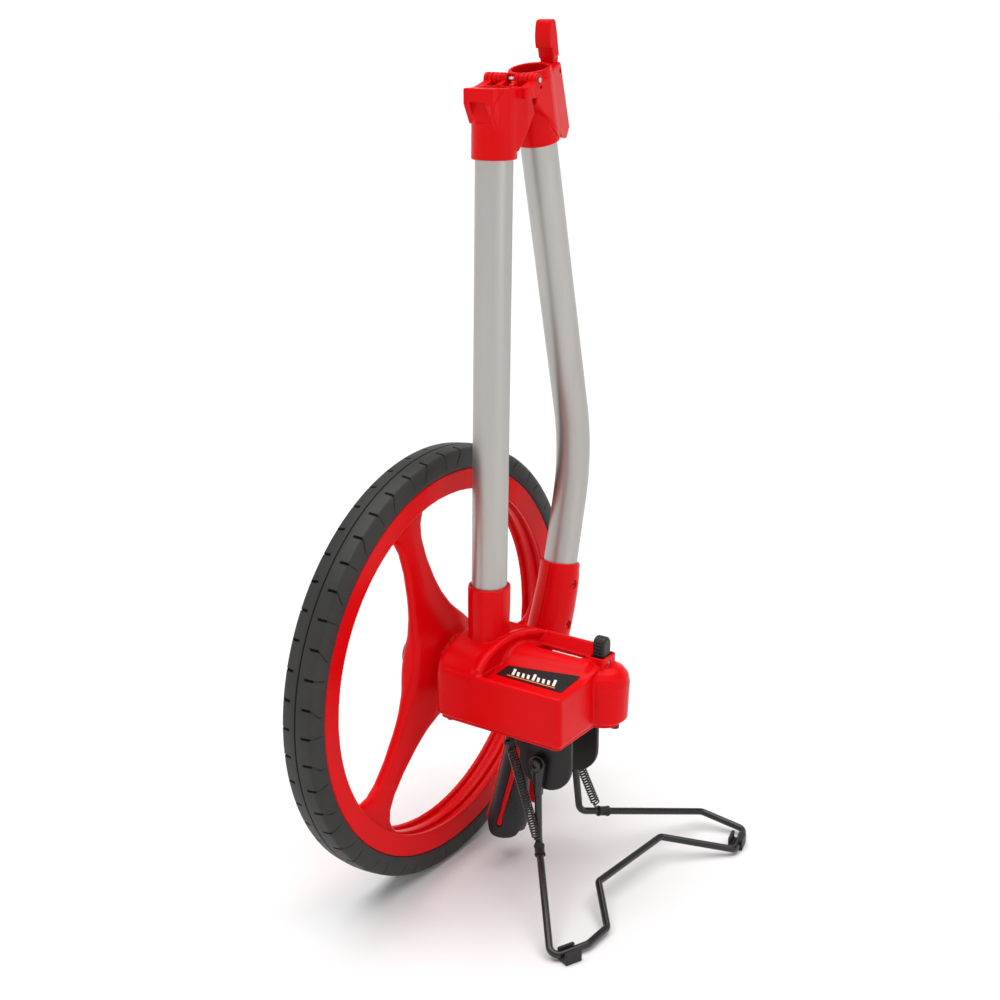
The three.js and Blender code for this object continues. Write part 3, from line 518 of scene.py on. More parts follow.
def wheel_shape(x, y, z):
    r = np.hypot(x, z - WHEEL_R)
    rim = outline(r, y, RIM_PROFILE, 0.45)
    gap = None
    for k in range(3):
        d = outline(x, z, opening_outline(SPOKE_AT - 60 + 120 * k), 2.0)
        gap = d if gap is None else np.minimum(gap, d)
    depth = np.clip(gap, 0, 24)
    half = 3.1 + 1.7 * (1 - np.exp(-depth / 7)) + 4.5 * np.clip((62 - r) / 34, 0, 1) ** 2
    plate = common(-gap, np.abs(y) - half, 5.0)
    plate = common(plate, r - 132, 0)
    hub = outline(r, y, HUB_PROFILE, 1.2)
    d = both(both(rim, plate, 1.4), hub, 9.0)
    a = np.arctan2(z - WHEEL_R, x)
    turn = np.abs((a * 4.5 / np.pi + 0.5) % 1 - 0.5)
    rib = common(turn * r * np.pi / 4.5 - 0.7, np.maximum(r - 22.6, 17 - r))
    rib = common(rib, np.maximum(y - 17.2, 8 - y), 0.8)
    d = both(d, rib, 1.0)
    d = minus(d, slab(r - 11, y, 9, 30), 0.6)
    d = minus(d, slab(r - 11, y, -30, -9), 0.6)
    return minus(d, r - 6.5, 0.6)


carve("wheel_spider", wheel_shape, (-144, -18, 15), (144, 19, 303), 1.0, RED, "wheel", ["wheel_rim"])
turned("hub_dust_cap", [
    (0, -25.5), (8, -25.4), (10.8, -25.0), (12.6, -24.3), (13.9, -23.0), (14.6, -20.5), (15, -17.4),
    (13.6, -17.4), (13, -21), (11.5, -23.2), (8.5, -23.4), (0, -23.4),
], (0, 0, WHEEL_R), (0, 1, 0), BLACK, "wheel", ["hub_cap"])

# ---- tubes ----------------------------------------------------------------------------------
def on_tube(z):
    return RAKE_AT[0] + (z - RAKE_AT[1]) * RAKE


def pipe(path, outer, inner, sides=64):
    """A hollow round tube along a path."""
    path = [Vector(p) for p in path]
    fr = frames(path)
    ring = []
    lip = 0.35
    for i, (p, f) in enumerate(zip(path, fr)):
        r = outer - lip if i in (0, len(path) - 1) else outer
        ring.append((p, f, r))
        if i == 0:
            ring.append((p + f[0] * lip, f, outer))
        if i == len(path) - 2:
            ring.append((path[-1] - fr[-1][0] * lip, fr[-1], outer))
    ring += [(p, f, inner) for p, f in zip(reversed(path), reversed(fr))]
    points, faces = [], []
    for i, (p, (_, u, v), r) in enumerate(ring):
        points += circle(p, u, v, r, sides)
        faces += band(i, (i + 1) % len(ring), sides)
    return points, faces


def straight(a, b, n=6):
    a, b = Vector(a), Vector(b)
    return [a.lerp(b, k / n) for k in range(n + 1)]


def tube_skin(name, path, body, node):
    obj = make(name, *pipe(path, TUBE_R, TUBE_R - TUBE_WALL), TUBE, body, [node])
    finish_mesh(obj, 40)


lower_path = straight((on_tube(184.6), TUBE_Y, 184.6), (on_tube(557), TUBE_Y, 557))
tube_skin("lower_tube_skin", lower_path, "frame", "lower_tube")

OUT = Vector((-math.cos(FOLD), 0, math.sin(FOLD)))
UP = Vector((math.sin(FOLD), 0, math.cos(FOLD)))


def at(u, w, y=TUBE_Y):
    return Vector((HINGE[0], y, HINGE[1])) + OUT * u + UP * w


LATCH_PIN = (at(42.8, -6).x, at(42.8, -6).z)
BEND = Vector((-116.7, TUBE_Y, 295.9))
LOW_DIR = Vector((0.2419, 0, -0.9703))
TUBE_END = BEND + LOW_DIR * 122
upper_path = rounded([at(UPPER_U, -8), BEND, TUBE_END], [146], 24)
tube_skin("handle_tube_skin", upper_path, "handle", "handle_tube")

# ---- counter housing ------------------------------------------------------------------------
RISE, RUN = 17.0, 14.6
PAD = dict(y0=62.0, y1=124.3, front=36.2, knee=24.0, low=170.4, rise=0.25)
CRESCENT = [(34, 60.8), (26, 60.6), (18, 61), (6, 61.6), (-6, 63), (-15, 67.5), (-22, 75)]


def corner(cx, cy, r, start, n=5):
    turns = [math.radians(start + 90 * k / n) for k in range(n + 1)]
    return [(cx + r * math.cos(a), cy + r * math.sin(a)) for a in turns]


HOUSE_PLAN = corner(32, 31.5, 8, -90) + corner(36, 124, 4, 0)
HOUSE_PLAN += corner(-25, 125, 3, 90) + corner(-25, 26.5, 3, 180)


def block_top(x):
    return HOUSE["top"] - 0.5 + RISE * (1 - np.exp((np.minimum(x, 37.0) - 37.0) / RUN))


def pad_top(x):
    return PAD["low"] + PAD["rise"] * np.maximum(PAD["knee"] - x, 0)


def socket_shape(x, y, z, grow=0.0):
    """Faceted socket that holds the lower tube."""
    xt = x - on_tube(z)
    a = np.arctan2(y - TUBE_Y, xt)
    r = np.hypot(xt, y - TUBE_Y)
    sector = np.pi / 6
    facet = r * np.cos((a + sector / 2) % sector - sector / 2)
    flare = -0.5 * np.clip((212 - z) / 24, 0, 1)
    return slab(0.5 * (facet - 14.75 - flare) + 0.5 * (r - 15.1 - flare) + grow, z, 168, 226, 1.3)


def housing_shape(x, y, z):
    plan = outline(x, y, HOUSE_PLAN)
    draft = (HOUSE["top"] - z) * 0.012
    side = plan + 0.3 - draft
    d = slab(side, z, HOUSE["z0"], HOUSE["top"], 2.6)
    d = np.maximum(d, -np.maximum(160 - z, y - 56))
    # recessed pad for the label, with a lip at the front and at the far end
    front, y0, y1 = PAD["front"], PAD["y0"], PAD["y1"]
    well = outline(x, y, [(-40, y0), (front, y0), (front, y1), (-40, y1)], 3.0)
    d = minus(d, common(well, pad_top(x) - z, 0), 1.2)
    rear = common(slab(plan + 0.3, z, 150, 182, 2.0), (z - pad_top(x)) * 0.97, 1.0)
    rear = common(rear, np.maximum(y0 - 2 - y, x - PAD["knee"]), 0.5)
    d = both(d, rear, 0.6)
    # raised block beside the wheel; it ends in a crescent with a rounded lip along its edge
    edge = [(HOUSE["x1"] + 5, 20), (HOUSE["x1"] + 5, 62.5)] + CRESCENT + [(-34, 80), (-34, 20)]
    steep = (HOUSE["top"] - 0.5 + RISE - block_top(x)) / RUN
    top = (z - block_top(x)) / np.sqrt(1 + steep * steep)
    raised = common(outline(x, y, edge, 1.0), top, 2.6)
    raised = common(raised, side, 5.0)
    d = both(d, common(raised, 156 - z), 0.0)
    rail = smooth_curve(CRESCENT[:-1] + [(-20, 73)], 3)
    lip = [np.array((px, py - 2.6, float(block_top(px)) - 1.3)) for px, py in rail]
    ridge = common(near_path(x, y, z, lip) - 3.1, plan + 0.6, 3.0)
    d = both(d, ridge, 3.2)
    # hood over the number drums, narrowing toward the far end
    t = np.clip((y - 56) / 66, 0, 1)
    wide = 19.5 - 7.6 * t
    hood = (np.hypot((x - SHAFT[0]) / wide, (z - SHAFT[1]) / 13.4) - 1) * 11.5
    hood = common(hood, np.maximum(54 - y, y - 123.5), 4.0)
    d = both(d, hood, 3.5)
    visor = [(-28.2, 166), (-28.2, 189.4), (-26.2, 190.2), (-25, 189.4), (-19.4, 181.4), (-19.4, 166)]
    d = both(d, slab(outline(x, z, visor, 0.6), y, 74.5, 121, 1.0), 1.0)
    r = away(x, y, LOBE)
    lobe = [(-5, 138), (LOBE_R - 1.0, 138), (LOBE_R, 166), (LOBE_R - 1.2, 171.5), (LOBE_R - 4.5, 175.6)]
    lobe += [(LOBE_R - 9, 177.8), (-5, 178.8)]
    d = both(d, outline(r, z, lobe, 2.2), 1.6)
    seam = np.maximum(np.abs(z - 166.6) - 0.3, LOBE_R - 0.35 - r)
    d = minus(d, common(seam, 128.5 - y), 0.3)
    box_top = block(x, y, z, (-29.5, 117, 160), (-12, 130.6, 185.5), 1.3)
    d = both(d, box_top, 1.0)
    d = both(d, socket_shape(x, y, z), 0.9)
    # hollow inside
    lo, hi = (HOUSE["x0"] + 3, HOUSE["y0"] + 3, 120), (HOUSE["x1"] - 3, HOUSE["y1"] - 3, 167.2)
    inner = block(x, y, z, lo, hi, 2.5)
    roof = [(37, 160), (37, 167), (28, 173), (15, 179), (-25, 184), (-25, 160)]
    inner = both(inner, slab(outline(x, z, roof), y, HOUSE["y0"] + 3, 53, 1.0))
    d = minus(d, inner)
    d = minus(d, round_bar(x, z, y, *SHAFT, 10.4, HOUSE["y0"] + 3, 118.5))
    window = [(-10.6, 200), (-10.6, 177), (-23.8, 171), (-23.8, 176), (-19.2, 178.4), (-19.2, 200)]
    d = minus(d, slab(outline(x, z, window), y, 77, 113, 0.4), 0.5)
    d = minus(d, round_bar(x, y, z, *LOBE, LOBE_R - 3, 120, 170))
    d = minus(d, block(x, y, z, (-28, 119.2, 160), (-13.2, 129.3, 200), 0.8), 0.8)
    d = minus(d, round_bar(x, z, y, 0, WHEEL_R, 8.6, 10, 28), 0.6)
    xt = x - on_tube(z)
    bore = np.maximum(np.hypot(xt, y - TUBE_Y) - TUBE_R - 0.3, 184 - z)
    d = minus(d, bore, 0.8)
    wall = block(x, y, z, (-14, 47, 148), (12, 55, 169), 0.5)
    wall = minus(wall, round_bar(x, z, y, 0, WHEEL_R, 4.3, 40, 60))
    d = both(d, wall)
    for screw, post_top in zip(COVER_SCREWS, (174, 168.5, 186, 172)):
        post = round_bar(x, y, z, *screw, 3.6, HOUSE["z0"], post_top)
        d = both(d, minus(post, round_bar(x, y, z, *screw, SCREW_BORE, 120, 152)))
    d = minus(d, round_bar(x, z, y, SHAFT[0], SHAFT[1], 2.4, 44, 60))
    return minus(d, round_bar(x, z, y, RESET[0], RESET[2], 1.7, 115.5, 132))


carve("counter_housing", housing_shape, (-41, 23, 137.5), (41, 145, 227), 0.7,
      RED, "frame", ["housing_shell"])


def base_shape(x, y, z):
    d2 = outline(x, y, [(36, 26.5), (36, 125), (-9, 126), (-26, 126), (-26, 26.5)], 4.0)
    d2 = both(d2, away(x, y, LOBE) - 12.5, 2.0)
    d = slab(d2, z, 134.2, HOUSE["z0"] - 0.2, 0.8)
    for screw in COVER_SCREWS:
        d = minus(d, away(x, y, screw) - SCREW_BORE)
    return d


carve("base_cover", base_shape, (-36, 25, 134), (37, 140, 138), 0.8, RED, "frame", ["base_plate"])


def build_label():
    """Black label on the pad, with a plain ruler motif in place of any name."""
    rear = smooth_curve([(10.7, 67.6), (9.2, 78), (7.4, 90), (4.8, 106), (2.2, 121.4)], 5)
    front = [(22.1, 65.2), (22.3, 92), (22.6, 118)]
    edge = front + [tuple(p) for p in reversed(rear)]
    lift, thick = 0.32, 0.5

    def height(x):
        return float(pad_top(x)) + lift

    def plate(points, z0, z1):
        n = len(points)
        v = [(x, y, height(x) + z1) for x, y in points] + [(x, y, height(x) + z0) for x, y in points]
        f = [tuple(range(n)), tuple(range(2 * n - 1, n - 1, -1))]
        f += [(i, n + i, n + (i + 1) % n, (i + 1) % n) for i in range(n)]
        return v, f

    def film(name, shape, material, stands_for=(), bevel=0.0):
        obj = make(name, *shape, material, "frame", stands_for, smooth=False)
        finish_mesh(obj, 30, bevel)

    film("label_sticker", plate(edge, 0.0, thick), LABEL, ["label_plate"], 0.15)
    verts, faces = [], []
    for k in range(9):
        y0 = 74.0 + 4.1 * k
        tall = 6.4 if k % 4 == 0 else 4.2
        slant, wide = 1.7, 2.1
        x0, x1 = 19.0, 19.0 - tall
        tick = [(x0, y0 + slant), (x0, y0 + wide + slant), (x1, y0 + wide), (x1, y0)]
        v, f = plate(tick, thick, thick + 0.12)
        f = [tuple(i + len(verts) for i in q) for q in f]
        verts += v
        faces += f
    film("label_ticks", (verts, faces), MARK)
    line = [(20.8, 73.0), (20.8, 112.0), (19.9, 112.0), (19.9, 73.0)]
    film("label_line", plate(line, thick, thick + 0.12), ACCENT)


build_label()
# Painted highlight: a white bar along the window's rear edge stands in for the glint of light on that
# edge; it is not a real seal.
bar = straight((-18.4, 86, 179.4), (-18.4, 112.4, 179.4), 3)
finish_mesh(make("window_edge_highlight", *swept(bar, 0.55, 12), WHITE, "frame"), 50)


def knob_shape(x, y, z):
    crown = np.linspace(0.1, math.pi - 0.1, 9)
    side = [(-25.6, 176.4), (-15.6, 176.4), (-15.2, 193)]
    side += [(RESET[0] + 5.4 * math.cos(a), 193.4 + 5.4 * math.sin(a)) for a in crown]
    side.append((-26, 193))
    d = slab(outline(x, z, side), y, 119.7, 128.9, 1.9)
    for k in range(4):
        groove = round_bar(x, z, y, -14.9, 187.2 + 2.5 * k, 0.8, 121.2, 127.4, 0.3)
        groove = both(groove, round_bar(x, z, y, -26.4, 187.2 + 2.5 * k, 0.8, 121.2, 127.4, 0.3))
        d = minus(d, groove, 0.3)
    return minus(d, away(x, z, RESET[::2]) - PIN_BORE)


carve("reset_thumb_knob", knob_shape, (-27, 119.5, 176), (-14.5, 129, 199.5), 0.35,
      BLACK, "reset", ["reset_knob"])

# ---- hinge heads ----------------------------------------------------------------------------
LOWER_SPANS = ((23.4, 29.8), (37.2, 40.8), (46.6, 50.2), (57.6, 64.0))
UPPER_SPANS = ((30.1, 36.9), (50.5, 57.3))
LOW_HEAD = dict(z0=518.0, top=HINGE[1] - 4.2)


def barrel(x, y, z, spans, r=4.2):
    """Hinge knuckles, each turned with fine ribs."""
    d = None
    around = away(x, z, HINGE)
    for lo, hi in spans:
        count = max(2, round((hi - lo) / 3.2))
        pitch = (hi - lo) / count
        groove = np.abs((y - lo) / pitch - np.round((y - lo) / pitch)) * pitch
        inside = (y > lo + 0.6) & (y < hi - 0.6)
        cut = np.where(inside, np.clip(0.8 - groove, 0, 0.8) * 1.2, 0)
        k = slab(around - r + cut, y, lo, hi, 0.35)
        d = k if d is None else np.minimum(d, k)
    return d


def lower_head_shape(x, y, z):
    top = LOW_HEAD["top"]
    xt = x - on_tube(z)
    r = np.hypot(xt, y - TUBE_Y)
    d = slab(r - 15, z, LOW_HEAD["z0"], top, 0.9)
    plan = [(-1.7, 57.9), (-22, 60.4), (-32, 60.4), (-32, 27), (-22, 27), (-1.7, 29.5)]
    back = [(-3, top), (-24.5, top), (-30.5, 546), (-14, 523), (-3, 523)]
    d = both(d, common(outline(x, y, plan, 1.0), outline(x, z, back, 1.5), 1.6), 1.0)
    # catch for the latch: a ledge over a pocket, braced on the far side
    nose = outline(x, z, [(-6, top), (9.6, top), (9.6, 553), (3.2, 540.5), (-6, 540.5)], 0.8)
    d = both(d, slab(nose, y, 31.5, 54, 1.0), 0.8)
    brace = outline(x, z, [(-6, top), (9.0, 552), (8.2, 545), (4, 537), (-6, 534)], 1.0)
    d = both(d, slab(brace, y, 51.5, 54.5, 1.0), 2.0)
    web = [(-32.8, 566), (-27, 556), (-16, 556), (-16, top), (-25.8, 566)]
    for lo, hi in LOWER_SPANS:
        d = both(d, slab(outline(x, z, web, 0.3), y, lo, hi, 0.4), 0.5)
    bridge = outline(x, z, [(-14, 556), (-24, 556), (-21, top), (-14, top)])
    d = both(d, slab(bridge, y, 23.4, 64, 0.8), 0.8)
    d = both(d, barrel(x, y, z, LOWER_SPANS), 0.5)
    for lo, hi in UPPER_SPANS:
        d = minus(d, slab(away(x, z, HINGE) - 6.2, y, lo - 0.2, hi + 0.2), 0.4)
    d = minus(d, block(x, y, z, (5.7, 36.5, 541), (14, 48.8, 554.4), 0.6), 0.5)
    # the mouth shows a shallow cup with a seat inside it
    d = minus(d, slab(r - 12.8, z, 500, 557.3))
    d = minus(d, slab(r - 11.6, z, 500, 540))
    d = minus(d, slab(r - 12.1, z, 558.2, 600), 0.7)
    d = minus(d, slab(r - 7.0, z, 500, 600), 0.5)
    return minus(d, away(x, z, HINGE) - HINGE_BORE)


carve("lower_hinge_head", lower_head_shape, (-35, 23, 517.5), (12, 65, 572), 0.6,
      RED, "frame", ["lower_collar"])


def in_head(x, z):
    """The handle head's own u and w."""
    dx, dz = x - HINGE[0], z - HINGE[1]
    return dx * OUT.x + dz * OUT.z, dx * UP.x + dz * UP.z


def upper_head_shape(x, y, z):
    u, w = in_head(x, z)
    r = np.hypot(u - UPPER_U, y - TUBE_Y)
    d = slab(r - 14.6, w, -48, -1, 0.9)
    side = [(2.2, -7), (4.5, -3.6), (27, -3.6), (29.5, -1), (46, -1), (49.8, -46.5), (41, -51.6)]
    side += [(31, -47.5), (14, -29), (2.2, -17)]
    plan = [(1.6, 28.7), (1.6, 58.7), (21, 58.7), (51, 51.4), (51, 36), (21, 28.7)]
    d = both(d, common(outline(u, w, side, 0.8), outline(u, y, plan, 0.8), 1.6), 0.8)
    groove = outline(u, w, [(27.5, -48), (13, -31), (2.5, -19.5), (2.5, -21.6), (13, -33.4), (26, -48)])
    d = minus(d, common(groove, 13.7 - np.abs(y - TUBE_Y)), 0.6)
    d = both(d, slab(r - 14.4, w, -6, 1.8, 0.9), 0.6)
    arm = [(0, -3.9), (8, -12), (8, -2.4), (3.3, 1.4)]
    for lo, hi in UPPER_SPANS:
        d = both(d, slab(outline(u, w, arm, 0.3), y, lo, hi, 0.4), 0.5)
    d = both(d, barrel(x, y, z, UPPER_SPANS), 0.5)
    for lo, hi in LOWER_SPANS:
        d = minus(d, slab(away(x, z, HINGE) - 5.4, y, lo - 0.2, hi + 0.2), 0.4)
    d = minus(d, slab(r - 12.8, w, -60, -7.6))
    d = minus(d, slab(r - 12.0, w, -60, 10), 0.9)
    slot = [(38.6, 8), (56, 8), (56, -13), (38.6, -13)]
    d = minus(d, slab(outline(u, w, slot), y, TUBE_Y - 5.3, TUBE_Y + 5.3), 0.6)
    d = minus(d, common(away(x, z, LATCH_PIN) - PIN_BORE, 30 - y))
    dimple = at(9.5, -7.2)
    d = minus(d, common(np.hypot(x - dimple.x, z - dimple.z) - 1.3, np.abs(y - 58.7) - 3), 0.3)
    return minus(d, away(x, z, HINGE) - HINGE_BORE)


carve("upper_hinge_head", upper_head_shape, (-92, 28, 513), (-24, 59.5, 584), 0.6,
      RED, "handle", ["upper_collar"])


def latch_shape(x, y, z):
    u, w = in_head(x, z)
    stem = [(39.7, -9), (45.4, -9), (49.4, 0), (49.9, 9), (42, 9), (42.2, -1), (39.7, -2)]
    head = [(42, 2.2), (49.7, 2.2), (50.4, 18), (50.0, 25)]
    barb = [(48.6, 26.4), (44, 26.2), (41.2, 20.5), (39.8, 15), (39.6, 9.2)]
    head += [tuple(p) for p in smooth_curve(barb, 4)] + [(42, 9.2)]
    d = slab(outline(u, w, stem, 0.4), y, TUBE_Y - 5.1, TUBE_Y + 5.1, 0.9)
    d = both(d, slab(outline(u, w, head, 0.5), y, TUBE_Y - 6, TUBE_Y + 6, 1.0), 0.8)
    return minus(d, away(x, z, LATCH_PIN) - PIN_BORE)


carve("latch_tab", latch_shape, (-81, 37, 565), (-58, 50.5, 606), 0.45, RED, "latch", ["latch_lever"])

# ---- handle ---------------------------------------------------------------------------------
BODY = [
    (-96.4, 214.5, 14.8, 14.8), (-92.0, 194, 16.2, 15.6), (-79.6, 162, 17.2, 16),
    (-63.4, 131, 16.4, 15.2), (-51, 109, 13.6, 13.4), (-49.2, 104.5, 8, 8), (-42, 85, 6.6, 6.6),
    (-35.3, 66, 7.2, 7.2), (-28.8, 45, 8.4, 7.8), (-25.6, 28, 8.4, 7.8),
    (-24.7, 20, 4.6, 4.2), (-24.5, 16.5, 2.5, 2.3),
]
GRIP_BODY = [
    (-50.6, 104.4, 12.6, 12.4), (-47.4, 97, 11.4, 11.2), (-42, 85, 10.8, 10.5), (-35.5, 66, 12.2, 11.2),
    (-29.4, 46.5, 14.6, 12.6), (-26, 33, 17.2, 14.2), (-24.8, 25.5, 15.8, 13), (-24.6, 20, 9.4, 8),
]
INLAYS = {
    1: ((1, 27), (2, 26), (3, 22), (4, 15), (5, 11)),
    -1: ((1, 66), (2, 64), (3, 60), (4, 54), (5, 50)),
}
body_stations = smooth_curve(BODY[:5], 4) + smooth_curve(BODY[5:10], 3) + [BODY[10], BODY[11]]
grip_stations = smooth_curve(GRIP_BODY, 4)


def past_end(x, z, station, towards):
    """Distance beyond a plane at a station, square to the way toward another."""
    dx, dz = towards[0] - station[0], towards[1] - station[1]
    n = math.hypot(dx, dz)
    return ((x - station[0]) * dx + (z - station[1]) * dz) / n


TROUGH = [(-70, 112), (-50, 112), (-49, 104), (-50.4, 84), (-49.2, 72), (-49.2, 60), (-70, 60)]


def handle_shape(x, y, z):
    d = swept_body(x, y, z, body_stations)
    d = common(d, -past_end(x, z, BODY[0], BODY[1]), 1.2)
    t = np.clip((x - BEND.x) * LOW_DIR.x + (z - BEND.z) * LOW_DIR.z, 0, 123)
    off_x, off_z = x - BEND.x - LOW_DIR.x * t, z - BEND.z - LOW_DIR.z * t
    tube = np.hypot(np.hypot(off_x, off_z), y - TUBE_Y) - TUBE_R - 0.3
    d = minus(d, tube, 0.4)
    trough = slab(outline(x, z, TROUGH), y, TUBE_Y - 5, TUBE_Y + 5, 0.8)
    d = minus(d, trough, 0.8)
    for screw in SCREWS:
        d = minus(d, common(away(x, z, screw) - 3.3, TUBE_Y + 13.4 - y), 0.5)
        d = minus(d, away(x, z, screw) - 1.9)
    return minus(d, away(x, z, TRIGGER) - PIN_BORE)


def left_shape(x, y, z):
    return common(handle_shape(x, y, z), TUBE_Y + 0.12 - y, 0.5)


def right_shape(x, y, z):
    return common(handle_shape(x, y, z), y - TUBE_Y + 0.12, 0.5)


carve("handle_half_left", left_shape, (-113, 43.4, 6), (-14, 60, 219), 0.8,
      RED, "handle", ["handle_shell_left"])
carve("handle_half_right", right_shape, (-113, 27.5, 6), (-14, 44, 219), 0.8,
      RED, "handle", ["handle_shell_right"])


def inlay_path(side, grow=0.0):
    pts = []
    for i, a in INLAYS[side]:
        x, z, ra, rb = GRIP_BODY[i]
        c, s = math.cos(math.radians(a)), math.sin(math.radians(a))
        pts.append((x + (ra - 0.6) * c, TUBE_Y + side * (rb - 0.6) * s, z))
    return smooth_curve(pts, 5)


def grip_shape(x, y, z):
    d = swept_body(x, y, z, grip_stations)
    d = common(d, -past_end(x, z, GRIP_BODY[0], GRIP_BODY[1]), 1.2)
    d = common(d, -past_end(x, z, GRIP_BODY[7], GRIP_BODY[6]), 2.0)
    d = minus(d, swept_body(x, y, z, [(-51, 109, 13.6, 13.4)] + body_stations[17:], 0.3))
    for side in (1, -1):
        d = minus(d, near_path(x, y, z, inlay_path(side)) - 2.35, 0.5)
    trough = slab(outline(x, z, TROUGH), y, TUBE_Y - 5, TUBE_Y + 5)
    d = minus(d, trough, 0.8)
    return minus(d, away(x, z, TRIGGER) - PIN_BORE)


carve("grip_sleeve", grip_shape, (-64, 28.5, 17), (-7, 59, 108), 0.7, GRIP, "handle", ["grip_rubber"])
for side, label in ((1, "left"), (-1, "right")):
    obj = make(f"grip_inlay_{label}", *swept(inlay_path(side), 2.1, 14), RED_SATIN, "handle",
               [f"grip_stripe_{label}"])
    finish_mesh(obj, 50)


def trigger_shape(x, y, z):
    front = smooth_curve([(-60.2, 92), (-59.9, 70), (-60.8, 50), (-62.3, 34), (-61.2, 27.8)], 4)
    back = [(-58.8, 27.6), (-57.6, 32), (-56.2, 45), (-55.2, 62), (-54.2, 84), (-52.4, 99)]
    side = [(-53.6, 105), (-58.6, 105)] + [tuple(p) for p in front + smooth_curve(back, 4)]
    d = slab(outline(x, z, side, 0.6), y, TUBE_Y - 4.6, TUBE_Y + 4.6, 1.4)
    return minus(d, away(x, z, TRIGGER) - PIN_BORE)


carve("trigger_lever", trigger_shape, (-63.5, 38.5, 26), (-51, 49, 106), 0.5,
      RED, "trigger", ["trigger"])

# ---- stand ----------------------------------------------------------------------------------
def bracket_shape(x, y, z):
    d = block(x, y, z, (-36, 67.5, 129.8), (8, 121, 133.6), 0.8)
    below = np.linspace(math.pi, 2 * math.pi, 19)
    arc = [(95 + 21.5 * math.cos(a), 105 + 21.5 * math.sin(a)) for a in below]
    cheek = outline(y, z, arc + [(116.5, 131), (67.5, 131), (67.5, 118), (73.5, 108)])
    for cx in CHEEKS:
        d = both(d, slab(cheek, x, cx - 1.7, cx + 1.7, 0.7), 2.6)
    d = minus(d, away(y, z, PIVOT) - 3.3, 0.3)
    return minus(d, away(y, z, ANCHOR) - 2.1, 0.3)


carve("stand_yoke", bracket_shape, (-37, 67, 83), (9, 122, 134), 0.65, BLACK, "frame", ["stand_bracket"])

KNEES = (Vector((6.8, 91.5, 42)), Vector((-47.5, 93, 41)))
LUG_ENDS = [Vector((lug, *PIVOT)).lerp(knee, 0.16) for lug, knee in zip(LUGS, KNEES)]
WIRE_BENDS = (
    (77, 145.8, 4.6), (49, 158.5, 4.6), (25, 159.6, 5), (-5, 134.8, 17), (-84, 142.5, 17.5),
    (-118.5, 188, 4.6), (-149.5, 181, 4.6), (-143.5, 147.3, 12.5),
)
CORNERS = [LUG_ENDS[0], KNEES[0]] + [Vector(p) for p in WIRE_BENDS] + [KNEES[1], LUG_ENDS[1]]
BENDS = (12, 5.5, 9, 5.5, 5.5, 5.5, 5, 5, 6, 9)
wire_path = rounded(CORNERS, BENDS, 8)
obj = make("stand_wire_frame", *swept(wire_path, WIRE_R, 20), WIRE, "stand", ["stand_wire"])
finish_mesh(obj, 50)
for k, (lug_x, knee) in enumerate(zip(LUGS, KNEES), 1):
    def lug_shape(x, y, z, lug_x=lug_x, knee=knee):
        t = np.clip((PIVOT[1] - z) / (PIVOT[1] - knee.z), 0, 1)
        drop = np.clip((PIVOT[1] - z) / 24, 0, 1)
        wire = np.hypot(x - lug_x - (knee.x - lug_x) * t, y - PIVOT[0] - (knee.y - PIVOT[0]) * t)
        flat = np.hypot(y - PIVOT[0], np.maximum(z - PIVOT[1], 0)) - (6.4 - 3.7 * drop)
        lean, thin = (knee.x - lug_x) * t, 0.7 * drop
        flat = slab(flat, x - lean, lug_x - 1.8 - thin, lug_x + 1.8 + thin, 0.7)
        flat = np.maximum(flat, PIVOT[1] - 25 - z)
        eye = both(flat, np.maximum(wire - WIRE_R, np.maximum(z - PIVOT[1] + 6, PIVOT[1] - 30 - z)), 1.0)
        return minus(eye, away(y, z, PIVOT) - 3.3, 0.4)

    carve(f"stand_eye_{k}", lug_shape, (lug_x - 7, 84, 74), (lug_x + 6, 100, 113), 0.45, WIRE, "stand")





def foot(name, node, a, b, t, shift):
    """A channel clipped round the wire where it lies on the floor."""
    d = Vector((b.x - a.x, b.y - a.y, 0)).normalized()
    side = Vector((-d.y, d.x, 0))
    mid = a.lerp(b, t) + Vector((*shift, 0))
    mid.z = 4.7
    near = [np.array(p) for p in wire_path if (p - mid).length < 26]

    def shape(x, y, z):
        u = (x - mid.x) * d.x + (y - mid.y) * d.y
        v = (x - mid.x) * side.x + (y - mid.y) * side.y
        w = z - mid.z
        s = block(u, v, w, (-6.5, -5.6, -4.7), (6.5, 5.6, 4.5), 0.7)
        s = minus(s, near_path(x, y, z, near) - WIRE_R - 0.15, 0.4)
        mouth = block(u, v, w, (-10, -3.2, -1), (10, 3.2, 9), 0.6)
        return minus(s, mouth, 0.5)

    lo, hi = (mid.x - 12, mid.y - 12, 0), (mid.x + 12, mid.y + 12, 9.6)
    carve(name, shape, lo, hi, 0.45, GRIP, "stand", [node])


foot("foot_clip_1", "foot_1", CORNERS[2], CORNERS[3], 0.45, (1.1, 2.3))
foot("foot_clip_2", "foot_2", CORNERS[7], CORNERS[8], 0.43, (0.4, -1.4))


def sleeve(name, node, knee, toward, start, end):
    d = (toward - knee).normalized()
    length = end - start
    lip = 1.5
    profile = [(2.64, 0.2), (3.5, 0), (3.9, 0.4), (3.9, lip), (3.5, lip + 0.5), (3.5, length / 2)]
    profile += [(3.5, length - lip - 0.5), (3.9, length - lip), (3.9, length - 0.4), (3.5, length)]
    profile.append((2.64, length - 0.2))
    turned(name, profile, knee + d * start, d, GRIP, "stand", [node], 32)
    return knee + d * (start + 1.2)


hook_1 = sleeve("spring_stop_1", "leg_sleeve_1", KNEES[0], CORNERS[2], 4, 13)
hook_2 = sleeve("spring_stop_2", "leg_sleeve_2", KNEES[1], CORNERS[9], 16, 26)


